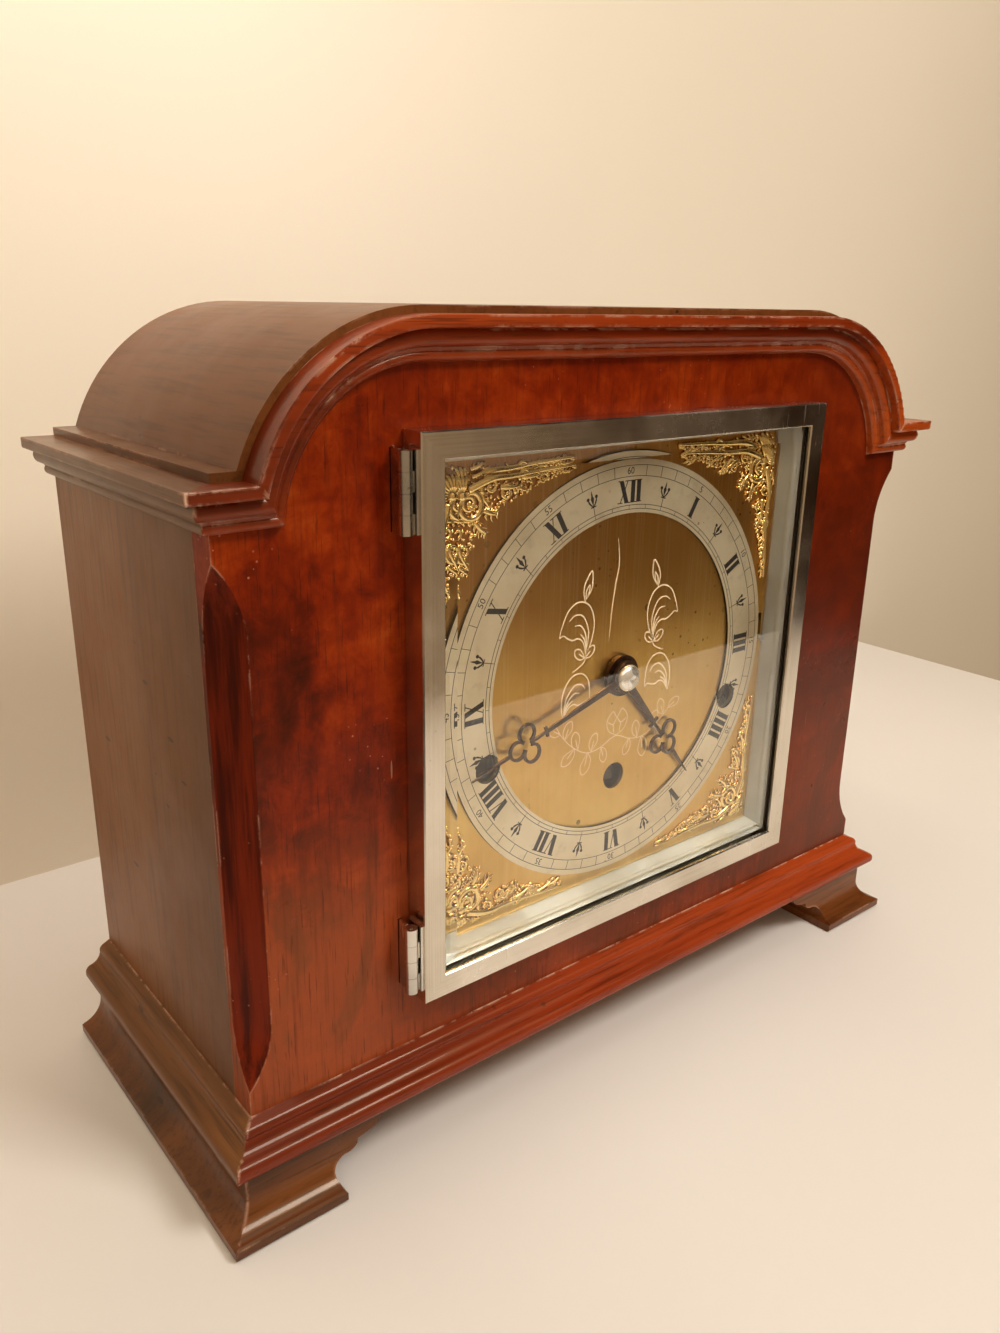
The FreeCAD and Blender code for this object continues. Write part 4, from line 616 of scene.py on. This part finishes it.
# Each has its width, strokes (layer, foot, head, width) about its middle, and serifs (radius, first, last)
# from its left
LETTERS = {
    "I": (2.55, [(bold, 0, 0, THICK)], [(NUMERAL_LOW, -0.05, 2.60), (NUMERAL_HIGH, -0.05, 2.60)]),
    "V": (5.1, [(bold, 0.1, -1.25, THICK), (fine, 0.35, 1.65, THIN)],
          [(NUMERAL_HIGH, -0.1, 2.3), (NUMERAL_HIGH, 3.3, 5.2)]),
    "X": (5.2, [(bold, 1.25, -1.25, THICK), (fine, -1.5, 1.5, THIN)],
          [(radius, *ends) for radius in (NUMERAL_LOW, NUMERAL_HIGH) for ends in ((-0.1, 2.1), (2.9, 5.3))]),
}


def bar(layer, angle, inner, outer):
    """A straight part of a letter, from one (distance from the centre, left, right) to another."""
    (low, a, b), (high, c, d) = inner, outer
    layer.prism([round_dial(angle, *corner) for corner in ((low, a), (low, b), (high, d), (high, c))])


for hour, numeral in enumerate(NUMERALS):
    left = -sum(LETTERS[letter][0] for letter in numeral) / 2
    for letter in numeral:
        width, strokes, serifs = LETTERS[letter]
        for layer, foot, head, thick in strokes:
            foot, head = left + width / 2 + foot, left + width / 2 + head
            bar(layer, 30 * hour, (NUMERAL_LOW, foot - thick / 2, foot + thick / 2),
                (NUMERAL_HIGH, head - thick / 2, head + thick / 2))
        for radius, *ends in serifs:
            ends = [left + end for end in ends]
            bar(bold, 30 * hour, (radius - SERIF / 2, *ends), (radius + SERIF / 2, *ends))
        left += width

# Half-hour marks: a three-leaved lily on a stem that stands on the quarter track
LILY_FOOT, LILY_TALL, LILY_WIDE = 57.0, 1.06, 1.12
MIDDLE_LEAF = [(0, 2.2), (0.62, 4.5), (0.30, 5.1), (0.28, 5.6), (0, 7.0), (-0.28, 5.6), (-0.30, 5.1),
               (-0.62, 4.5)]
SIDE_LEAF, SIDE_LEAF_WIDTHS = [(0, 2.1), (0.7, 2.7), (1.3, 3.6), (1.6, 4.6)], [0.3, 0.5, 0.6, 0.3]
LEAF_TIP = [(1.55 + 0.55 * math.cos(k * math.pi / 4), 4.7 + 0.55 * math.sin(k * math.pi / 4))
            for k in range(8)]
STEM, STEM_LINE, COLLAR, COLLAR_LINE = [(0, -0.8), (0, 2.6)], 0.24, [(-1.0, 2.0), (1.0, 2.0)], 0.4


def lily(angle, points, side=1):
    return [round_dial(angle, LILY_FOOT + LILY_TALL * rise, LILY_WIDE * (across * side))
            for across, rise in points]


for angle in range(15, 360, 30):
    fine.ribbon(lily(angle, STEM), STEM_LINE)
    bold.prism(lily(angle, MIDDLE_LEAF))
    for side in (-1, 1):
        bold.ribbon(lily(angle, SIDE_LEAF, side), SIDE_LEAF_WIDTHS)
        bold.prism(lily(angle, LEAF_TIP, side))
    fine.ribbon(lily(angle, COLLAR), COLLAR_LINE)

bold.made("ring_numerals", numeral_ink, "silvered_ring")
fine.made("ring_track", line_ink, "silvered_ring")


FIGURE_SIZE = 3.1


def figure_mesh(minutes):
    """A small figure in the minute track, its foot to the centre, as a thin mesh."""
    name, angle = f"figure_{minutes}", 6 * minutes
    data = bpy.data.curves.new(name, "FONT")
    data.body, data.size, data.extrude = str(minutes), FIGURE_SIZE * MM, PRINT * MM / 2
    data.align_x, data.align_y, data.resolution_u = "CENTER", "CENTER", 3
    source = placed_object(name, data)
    mesh = bpy.data.meshes.new_from_object(source.evaluated_get(bpy.context.evaluated_depsgraph_get()))
    bpy.data.objects.remove(source)
    x, z = round_dial(angle, (TRACK[0] + TRACK[1]) / 2)
    turn = Matrix.Rotation(math.radians(angle), 4, "Y") @ Matrix.Rotation(math.radians(90), 4, "X")
    place = Matrix.Translation(((DIAL[0] + x) * MM, (RING_FRONT - PRINT / 2) * MM, (DIAL[1] + z) * MM))
    mesh.transform(place @ turn)
    return mesh


points, faces = [], []
for index in range(12):
    mesh = figure_mesh(5 * index or 60)
    base = len(points)
    points += [tuple(v.co) for v in mesh.vertices]
    faces += [tuple(base + i for i in p.vertices) for p in mesh.polygons]
    bpy.data.meshes.remove(mesh)
piece("ring_figures", points, faces, line_ink, "case")


# Engraving on the dial's centre: two leaf columns and a low garland, cut as fine bright lines

DIAL_FRONT, CUT, SCRATCH = -47.6, 0.02, 0.012
COLUMN_LINE, GARLAND_LINE, FLOWER_LINE = 0.46, 0.36, 0.38
engraved = Flat(DIAL, DIAL_FRONT - CUT, DIAL_FRONT + SUNK)
rubbed = Flat(DIAL, DIAL_FRONT - CUT, DIAL_FRONT + SUNK)


def cut(layer, points, width):
    """A cut line that thins out to its ends."""
    line = curve(points)
    count = len(line) - 1
    layer.ribbon(line, [width * (0.45 + 0.55 * math.sin(math.pi * (0.12 + 0.8 * k / count)))
                        for k in range(count + 1)])


def grown(points, x, z, size, turn, flip=1):
    """A line that starts at (0, 0), moved to (x, z), turned, and mirrored where flip is -1."""
    c, s = math.cos(math.radians(turn)), math.sin(math.radians(turn))
    return [(x + size * (flip * u * c - v * s), z + size * (flip * u * s + v * c)) for u, v in points]


# Each is a list of lines that grow up from (0, 0)
LEAF = [
    [(0, 0), (1.6, 3.6), (2.0, 8.0), (0.2, 12.0), (-3.2, 13.3), (-6.4, 11.6), (-8.2, 7.8), (-8.9, 5.2)],
    [(-8.9, 5.2), (-7.6, 5.7), (-6.3, 4.9), (-4.6, 4.2), (-2.9, 4.4), (-1.2, 3.2), (0, 0)],
    [(0.2, 1.8), (0.3, 6.0), (-1.6, 9.6), (-4.2, 10.2), (-6.0, 9.0)],
    [(0.1, 1.2), (-0.5, 5.0), (-2.2, 7.4), (-4.2, 7.6)],
    [(0, 1.0), (-0.8, 3.8), (-2.2, 5.4)],
]
BUD = [
    [(0, 0), (-1.0, 2.4), (-0.9, 4.8), (0.5, 7.6), (1.3, 5.6), (1.4, 3.2), (0.2, 0.6)],
    [(0.1, 0.8), (-0.2, 2.6), (0.6, 4.4)], [(0.3, 0.9), (0.8, 2.6), (0.7, 4.2)],
]
LEAFLET = [[(0, 0), (-1.1, 1.4), (-0.9, 3.4), (0.4, 4.3), (1.2, 2.6), (0, 0)], [(0, 0.3), (0.1, 2.6)]]
FLOWER = [
    [(0, 0), (-2.6, 1.6), (-3.2, 4.2), (-1.4, 6.2), (0, 4.6), (1.6, 6.4), (3.4, 4.2), (2.6, 1.4), (0, 0)],
    [(-2.9, 3.8), (-1.2, 3.0), (0, 4.6)], [(0, 4.6), (1.3, 3.0), (3.1, 3.8)], [(-0.9, 0.8), (-1.2, 3.0)],
    [(0.9, 0.8), (1.3, 3.0)],
]
COLUMN = (  # lines, x, z, size, turn, and whether mirrored
    (LEAF, 15.2, 9.6, 1.34, 2, -1), (LEAF, 24.2, -10.5, 1.16, 14, 1), (BUD, 16.4, 27.2, 1.3, 10, -1),
    (LEAFLET, 15.6, 8.6, 1.25, -58, -1), (LEAFLET, 15.6, 8.6, 1.2, 52, 1))
COLUMN_STEM = [(15.2, 9.6), (16.0, 7.2), (18.6, 5.6), (20.8, 4.8)]
for side in (-1, 1):
    for lines, x, z, size, turn, flip in COLUMN:
        for points in lines:
            cut(engraved, [(side * u, v) for u, v in grown(points, x, z, size, turn, flip)], COLUMN_LINE)
    cut(engraved, [(side * u, v) for u, v in COLUMN_STEM], 0.4)

GARLAND_STEM = [(-26.0, -14.5), (-20.5, -20.5), (-13.5, -24.8), (-7.0, -24.6), (0, -22.0), (7.0, -24.6),
                (13.5, -25.0), (20.5, -21.5), (26.5, -16.5)]
GARLAND = (  # leaflets: x, z, turn, size
    (-25, -15.6, 60, 1.4), (-23, -18, -20, 1.5), (-18.5, -22, 135, 1.7), (-17, -23, 18, 1.6),
    (-12.5, -25, 168, 1.8), (-11, -25, -14, 1.5), (-6.5, -24.5, -160, 1.4), (6.5, -24.4, 165, 1.4),
    (10.5, -25, 14, 1.5), (12.5, -25, -168, 1.8), (17, -23.6, -18, 1.6), (18.5, -22.6, -138, 1.6),
    (23, -19.4, 24, 1.5), (25.2, -17.6, -60, 1.4))
cut(rubbed, GARLAND_STEM, GARLAND_LINE)
for x, z, turn, size in GARLAND:
    for points in LEAFLET:
        cut(rubbed, grown(points, x, z, size, turn), GARLAND_LINE)
for points in FLOWER:
    cut(rubbed, grown(points, 0.4, -21.8, 1.42, 0.0), FLOWER_LINE)
engraved.made("dial_engraving", cut_line, "dial_brass")
rubbed.made("dial_garland", rubbed_line, "dial_brass")

scratch = Flat(DIAL, DIAL_FRONT - SCRATCH, DIAL_FRONT + SUNK)
scratch.ribbon(curve([(-3.2, 46.0), (-2.2, 38.0), (-3.4, 31.0), (-4.6, 22.0), (-5.2, 12.0)]),
               [0.5 * math.sin(math.pi * min(1, (k + 2) / 44)) + 0.06 for k in range(41)])
scratch.made("dial_scratch", rubbed_line, "dial_brass")


# Cast corner ornaments: scrolls, leaves and beads heaped towards the corner, open lace between them

class Cast:
    """Bars and beads as (x, z, height over the dial), in millimetres."""

    def __init__(self):
        self.points, self.faces = [], []

    def tube(self, path, radii, base, squash=0.8, sides=7):
        """A tapering half-round bar along (x, z) points, lifted by base, down to the dial on both sides."""
        start, count, ring = len(self.points), len(path), sides + 2
        for k, (x, z) in enumerate(path):
            before, after = path[max(k - 1, 0)], path[min(k + 1, count - 1)]
            dx, dz = after[0] - before[0], after[1] - before[1]
            length = math.hypot(dx, dz) or 1.0
            nx, nz = -dz / length, dx / length
            r = radii[k] * 1.3
            for s in range(sides):
                a = math.pi * s / (sides - 1)
                off, high = math.cos(a) * r, math.sin(a) * r * squash + base[k]
                self.points.append((x + nx * off, z + nz * off, high))
            self.points.append((x + nx * -r * 0.9, z + nz * -r * 0.9, 0.0))
            self.points.append((x + nx * r * 0.9, z + nz * r * 0.9, 0.0))
        for k in range(count - 1):
            self.faces += band(start + k * ring, start + (k + 1) * ring, ring)
        self.faces.append(tuple(start + s for s in range(ring - 1, -1, -1)))
        self.faces.append(tuple(start + (count - 1) * ring + s for s in range(ring)))

    def bead(self, x, z, r, squash=0.75, rings=4, sides=9):
        """A dome on a short wall."""
        start, wall = len(self.points), 0.25
        r *= 1.15
        for k in range(rings):
            a = math.pi / 2 * k / rings
            for s in range(sides):
                t = 2 * math.pi * s / sides
                self.points.append((x + r * math.cos(a) * math.cos(t), z + r * math.cos(a) * math.sin(t),
                                    r * squash * math.sin(a) + wall))
        self.points.append((x, z, r * squash + wall))
        top = len(self.points) - 1
        for s in range(sides):
            t = 2 * math.pi * s / sides
            self.points.append((x + r * math.cos(t), z + r * math.sin(t), 0.0))
        for k in range(rings - 1):
            self.faces += band(start + k * sides, start + (k + 1) * sides, sides)
        last = start + (rings - 1) * sides
        for s, quad in enumerate(band(top + 1, start, sides)):
            self.faces += [(last + s, last + (s + 1) % sides, top), quad]
        self.faces.append(tuple(top + 1 + s for s in range(sides - 1, -1, -1)))


def scroll(x, z, start_angle, turns, size, hand):
    """A volute: a line that winds in to an eye."""
    line, steps = [], 22
    for k in range(steps + 1):
        t = k / steps
        r = size * (1 - 0.86 * t)
        a = math.radians(start_angle) + hand * turns * 2 * math.pi * t
        line.append((x + r * math.cos(a), z + r * math.sin(a)))
    return line


def shares(line):
    """How far along a line each of its points is, from 0 to 1."""
    return [k / (len(line) - 1) for k in range(len(line))]


def leaf(cast, x, z, angle, length, width, lobes):
    """An acanthus leaf: a curved rib with pairs of pointed lobes down its sides."""
    a, base, bend = math.radians(angle), 0.2, 0.25
    rib = curve([(x + math.cos(a + bend * t) * length * t, z + math.sin(a + bend * t) * length * t)
                 for t in (0, 0.35, 0.7, 1.0)], 5)
    cast.tube(rib, [0.55 * (1 - 0.8 * t) * width / 3 + 0.1 for t in shares(rib)],
              [base + 0.5 * math.sin(math.pi * t) for t in shares(rib)])
    for k in range(lobes):
        share = (k + 0.7) / (lobes + 0.3)
        x, z = rib[int(share * (len(rib) - 1))]
        for side in (-1, 1):
            tilt = a + bend * share + side * (0.95 - 0.35 * share)
            reach = width * (0.55 + 0.6 * math.sin(math.pi * min(0.95, share + 0.1))) * 0.75
            tip = (x + math.cos(tilt) * reach, z + math.sin(tilt) * reach)
            turned = tilt + side * 0.3
            waist = (x + math.cos(turned) * reach * 0.55, z + math.sin(turned) * reach * 0.55)
            line = curve([(x, z), waist, tip], 4)
            cast.tube(line, [0.36 * (1 - 0.75 * t) for t in shares(line)],
                      [base + 0.35 * (1 - t) for t in shares(line)], 0.9, 6)


ARM = [(66.5, 63.0), (69.0, 55.0), (69.2, 47.0), (69.8, 38.0), (70.3, 30.0), (70.6, 23.0)]
SCROLLS = (  # x, z, first angle, turns, size, hand
    (62.6, 62.4, 200, 1.25, 4.6, 1), (67.0, 55.2, 130, 1.3, 3.4, -1), (64.4, 49.0, 260, 1.2, 3.0, 1),
    (68.9, 42.4, 120, 1.2, 2.3, -1), (67.4, 35.6, 250, 1.2, 2.0, 1), (69.6, 66.6, 20, 1.1, 1.9, 1))
LEAVES = (  # x, z, angle, length, width, lobes
    (60.5, 57.5, 238, 6.0, 3.4, 3), (66.4, 51.6, 258, 9.0, 3.2, 4), (68.6, 44.0, 262, 9.0, 2.6, 4),
    (69.6, 35.0, 266, 9.5, 2.0, 4), (65.8, 58.6, 200, 6.0, 2.8, 3), (66.2, 45.6, 235, 5.0, 2.4, 3),
    (69.0, 29.0, 262, 6.5, 1.5, 3), (57.6, 60.6, 205, 5.4, 2.6, 3), (70.0, 61.5, 280, 6.0, 2.2, 3))
BEAD_TRIES = 420
BEADS_WITHIN, CLEAR_OF_RING = 71.6, 71.7
EDGE, RING_RIM, TALLEST = 71.9, 71.3, 1.75  # no ornament past these


def corner_ornament(seed):
    """One corner, drawn for the top right: (x, z) from the dial's centre, and heights over the dial."""
    rng = random.Random(seed)
    cast = Cast()
    # Both halves of the corner are the same, with x and z swapped
    for swap in (False, True):
        def placed(line):
            return [(z, x) for x, z in line] if swap else line

        arm = curve(ARM, 8)
        cast.tube(placed(arm), [0.95 * (1 - 0.72 * t) for t in shares(arm)],
                  [0.55 + 0.25 * math.sin(9 * k / len(arm)) for k in range(len(arm))])
        for x, z, begin, turns, size, hand in SCROLLS:
            line = scroll(x, z, begin, turns, size, hand)
            cast.tube(placed(line), [0.18 * size * (0.9 - 0.55 * t) + 0.08 for t in shares(line)],
                      [0.4 + 0.28 * size * 0.3 * t for t in shares(line)])
            cast.bead(*placed([(x, z)])[0], 0.22 * size)
        for x, z, angle, length, width, lobes in LEAVES:
            leaf(cast, *placed([(x, z)])[0], 90 - angle if swap else angle, length, width, lobes)
    # The shell in the corner, fanned ribs over a raised eye
    for k in range(9):
        a = math.radians(-18 + k * 15.75)
        line = [(65.2 + math.cos(a) * r, 65.2 + math.sin(a) * r) for r in (1.2, 2.8, 4.4, 5.8)]
        if max(max(p) for p in line) < BEADS_WITHIN - 0.3:
            cast.tube(line, [0.35, 0.5, 0.6, 0.35], [0.9, 1.1, 0.9, 0.35], 0.9)
    cast.bead(65.0, 65.0, 1.5)
    # Small beads, denser towards the corner
    for _ in range(BEAD_TRIES):
        along = rng.random()
        x, z = 70.8 - rng.random() ** 0.8 * (17.5 * (1 - along) ** 1.3 + 1.5), 71.0 - 48.0 * along
        if rng.random() < 0.5:
            x, z = z, x
        r = rng.uniform(0.28, 0.62)
        if max(x, z) + r < BEADS_WITHIN and math.hypot(x, z) - r > CLEAR_OF_RING:
            cast.bead(x, z, r, rng.uniform(0.8, 1.5), 3, 7)
    return cast.points, cast.faces


corner_points, corner_faces = [], []
for quarter in range(4):
    points, faces = corner_ornament(7 + quarter)
    turn = quarter * math.pi / 2
    c, s = math.cos(turn), math.sin(turn)
    base = len(corner_points)
    for x, z, high in points:
        r = math.hypot(x, z)
        if r < RING_RIM:
            x, z = x * RING_RIM / r, z * RING_RIM / r
        x, z = min(x, EDGE), min(z, EDGE)
        high = min(high, TALLEST) if high > 0 else -SUNK
        corner_points.append(((DIAL[0] + c * x + s * z) * MM, (DIAL_FRONT - high) * MM,
                              (DIAL[1] - s * x + c * z) * MM))
    corner_faces += [tuple(base + i for i in face) for face in faces]
ornament = piece("corner_ornaments", corner_points, corner_faces, finishes["gilt_casting"], "case",
                 smooth=True)
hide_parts("spandrels")


# The glass, with a narrower and steeper bevel that bends what lies behind it

low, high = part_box("bezel_glass")
BEVEL_OUTER, BEVEL_INNER = 3.0 * MM, 7.7 * MM  # how far in from the edge the bevel starts and ends
EDGE_THICK, BEVEL_LOW = 0.45 * MM, 0.65 * MM  # how far forward of the back face
squares = ((0, high[1]), (0, high[1] - EDGE_THICK), (BEVEL_OUTER, high[1] - BEVEL_LOW), (BEVEL_INNER, low[1]))
points, faces = [], [(3, 2, 1, 0), (12, 13, 14, 15)]
for inset, y in squares:
    x0, x1, z0, z1 = low[0] + inset, high[0] - inset, low[2] + inset, high[2] - inset
    points += [(x0, y, z0), (x1, y, z0), (x1, y, z1), (x0, y, z1)]
for ring in range(3):
    faces += band(4 * ring, 4 * ring + 4, 4)
bevelled = piece("bevelled_glass", points, faces, finishes["dial_glass"], "bezel_door")
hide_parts("bezel_glass")


# The cap nut, turned smooth where the solid's mesh is faceted

SIDES = 48
# Shares of its radius and of its depth, from the back to the front
profile = [(0.96, 0.0), (1.0, 0.04), (1.0, 0.34)]
for degrees in (0, 15, 30, 45, 58, 70):
    a = math.radians(degrees)
    profile.append((math.cos(a) * 0.96 + 0.02, 0.38 + 0.58 * math.sin(a)))
profile += [(0.30, 0.965), (0.27, 0.93), (0.02, 0.92)]
low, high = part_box("hand_nut")
middle_x, middle_z, radius = (low[0] + high[0]) / 2, (low[2] + high[2]) / 2, (high[0] - low[0]) / 2
points = [(middle_x + out * x * radius, high[1] + along * (low[1] - high[1]), middle_z + out * z * radius)
          for out, along in profile for z, x in ring_line(1, SIDES)]
faces = []
for row in range(len(profile) - 1):
    faces += band(row * SIDES, (row + 1) * SIDES, SIDES)
faces += [tuple(range(SIDES - 1, -1, -1)), tuple(range((len(profile) - 1) * SIDES, len(profile) * SIDES))]
nut = piece("cap_nut", points, faces, finishes["nut_metal"], "minute_work", smooth=True)
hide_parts("hand_nut")


# Slotted screws in the back door's hinge leaves

HEAD, SLOT_HALF, RISE = 1.7 * MM, 0.22 * MM, 0.38 * MM
# Shares of its radius, and heights
HALF_HEAD = ((1.0, -0.02 * MM), (1.0, 0.4 * RISE), (0.82, 0.85 * RISE), (0.5, RISE))
HEAD_STEPS, HEAD_ARC = 12, math.radians(164)
FROM_END, FROM_END_INNER = 6 * MM, 19 * MM


def leaf_face(node):
    """The y of the widest flat that faces the back, and its middle in x."""
    mesh = nodes[node].data
    spread = {}
    for face in mesh.polygons:
        if face.normal.y > 0.99:
            spread.setdefault(round(face.center.y, 5), []).append(face)
    y = max(spread, key=lambda key: sum(face.area for face in spread[key]))
    xs = [mesh.vertices[v].co.x for face in spread[y] for v in face.vertices]
    return y, (min(xs) + max(xs)) / 2


def screws(name, node, body, angles):
    """A screw at each end of both leaves, its head in two halves beside the slot."""
    y, x = leaf_face(node)
    low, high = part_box(node)
    heights = (low[2] + FROM_END, low[2] + FROM_END_INNER, high[2] - FROM_END_INNER, high[2] - FROM_END)
    count = HEAD_STEPS + 1
    points, faces = [], []
    for z, angle in zip(heights, angles):
        for side in (0, math.pi):
            start = len(points)
            c, s = math.cos(angle + side), math.sin(angle + side)
            for scale, up in HALF_HEAD:
                for k in range(count):
                    a = HEAD_ARC * (k / HEAD_STEPS - 0.5)
                    u, v = max(HEAD * scale * math.cos(a), SLOT_HALF), HEAD * scale * math.sin(a)
                    points.append((x + u * c - v * s, y + up, z + u * s + v * c))
            for row in range(len(HALF_HEAD) - 1):
                a, b = start + count * row, start + count * (row + 1)
                faces += [(a + k, b + k, b + (k + 1) % count, a + (k + 1) % count) for k in range(count)]
            last = start + count * (len(HALF_HEAD) - 1)
            faces += [tuple(range(start, start + count)), tuple(range(last + count - 1, last - 1, -1))]
    piece(name, points, faces, finishes["small_brass"], body)


screws("back_hinge_case_screws", "back_hinge_case_leaves", "case", (0.3, 1.2, -0.5, 0.9))
screws("back_hinge_door_screws", "back_hinge_door_leaves", "rear_door", (1.5, -0.2, 0.6, 2.1))


# Stage

def stage_material(name, colour, rough):
    g = Graph(name)
    tone = g.noise(3.0, detail=3.0, rough=0.5)
    g.bump(g.noise(700.0, detail=2.0, rough=0.5), 0.08, 0.2 * MM)
    g.set(Base_Color=g.blend(g.steps(tone, 0.3, 0.7), colour, shade(colour, 0.965)), Roughness=rough)
    return g


def floor_cloth(left, soft=0.03):
    """Pale cloth that ends at the left for what the clock's polish mirrors, where the room is dark."""
    g = stage_material("floor_cloth", (0.83, 0.81, 0.79), 0.6)
    path = g.new("ShaderNodeLightPath")
    dark_room = g.fed("ShaderNodeEmission", ((0.02, 0.008, 0.003), 1.0))
    beyond = g.steps(g.split(g.place)[0], left + soft, left - soft)
    share = g.times(path.outputs["Is Glossy Ray"], g.bounced(path), beyond)
    g.surface(share, g.shader.outputs[0], dark_room.outputs[0], g.output)
    return g.material


def backdrop_paper():
    """Pale paper that can't be seen from behind."""
    g = stage_material("backdrop_paper", (0.86, 0.80, 0.68), 0.75)
    face, clear = g.new("ShaderNodeNewGeometry"), g.new("ShaderNodeBsdfTransparent")
    g.surface(face.outputs["Backfacing"], g.shader.outputs[0], clear.outputs[0], g.output)
    return g.material


def board(name, corners, finish):
    mesh = bpy.data.meshes.new(name)
    mesh.from_pydata(corners, [], [(0, 1, 2, 3)])
    mesh.materials.append(finish)
    placed_object(name, mesh)


WALL_Y, TABLE_FRONT, TABLE_RIGHT, CLOTH_LEFT, FAR = 0.19, -0.35, 0.50, -0.27, 2.5
board("floor", [(-FAR, TABLE_FRONT, 0), (TABLE_RIGHT, TABLE_FRONT, 0), (TABLE_RIGHT, FAR, 0), (-FAR, FAR, 0)],
      floor_cloth(CLOTH_LEFT))
board("backdrop", [(-3, WALL_Y, -1), (4, WALL_Y, -1), (4, WALL_Y, 3), (-3, WALL_Y, 3)], backdrop_paper())

LAMPS = {
    "key": dict(
        place=(0.25, -0.62, 0.88), target=(0.02, -0.05, 0.1), size=(0.30, 0.30), watts=6.3,
        colour=(1.0, 0.92, 0.82)),
    "fill": dict(
        place=(-0.9, -0.9, 1.3), target=(0, 0, 0.1), size=(0.8, 0.8), watts=4.3, colour=(1.0, 0.86, 0.68)),
    "top": dict(
        place=(-0.1, 0.0, 1.6), target=(0, 0.05, 0.1), size=(1.2, 0.8), watts=5.0, colour=(1.0, 0.89, 0.74)),
    "wall_wash": dict(
        place=(-0.22, 0.02, 0.76), target=(-0.1, 0.19, 0.42), size=(0.3, 0.06), watts=0.36,
        colour=(1.0, 0.90, 0.80), spread=60),
}


def lamp(name, place, target, size, watts, colour, spread=180):
    data = bpy.data.lights.new(name, "AREA")
    data.shape, data.size, data.size_y = "RECTANGLE", size[0], size[1]
    data.energy, data.color, data.spread = watts, colour, math.radians(spread)
    made = placed_object(name, data)
    made.location = place
    made.rotation_mode = "QUATERNION"
    made.rotation_quaternion = (Vector(target) - Vector(place)).to_track_quat("-Z", "Y")


for name, row in LAMPS.items():
    lamp(name, **row)

# What bounced rays see of the room is bright in front of the clock and dark towards the right. The camera,
# also through the glass, sees a pale background
world = bpy.data.worlds.new("room")
bpy.context.scene.world = world
world.use_nodes = True
w = Nodes(world.node_tree)
background = w.tree.nodes["Background"]
for socket, value in zip(background.inputs, ((0.80, 0.72, 0.58), 0.9)):
    w.link(value, socket)
x, y, _ = w.split(w.new("ShaderNodeTexCoord").outputs["Generated"])
rightward = w.maths("DIVIDE", x, w.larger(w.times(y, -2.0), 0.2))
room = w.fed("ShaderNodeBackground", (
    w.colours(rightward, [(0.33, (0.48, 0.33, 0.20)), (0.50, (0.020, 0.007, 0.002))]), 0.8))
w.surface(w.bounced(w.new("ShaderNodeLightPath")), background.outputs[0], room.outputs[0],
          w.tree.nodes["World Output"])

# The photograph's camera, from its fitted axes and place
camera_data = bpy.data.cameras.new("photo_camera")
camera_data.sensor_width, camera_data.lens, camera_data.clip_start = 36, 29.0, 0.01
camera = placed_object("photo_camera", camera_data)
RIGHT = (0.78162471, -0.62356975, 0.0149523)
UP = (0.18900156, 0.25961597, 0.94703641)
BACK = (-0.59442511, -0.73740105, 0.32077791)
PLACE = (-0.24365939, -0.28527857, 0.25400228)
camera.matrix_world = Matrix.Translation(PLACE) @ Matrix((RIGHT, UP, BACK)).transposed().to_4x4()
bpy.context.scene.camera = camera
bpy.context.scene.view_settings.view_transform = "Standard"
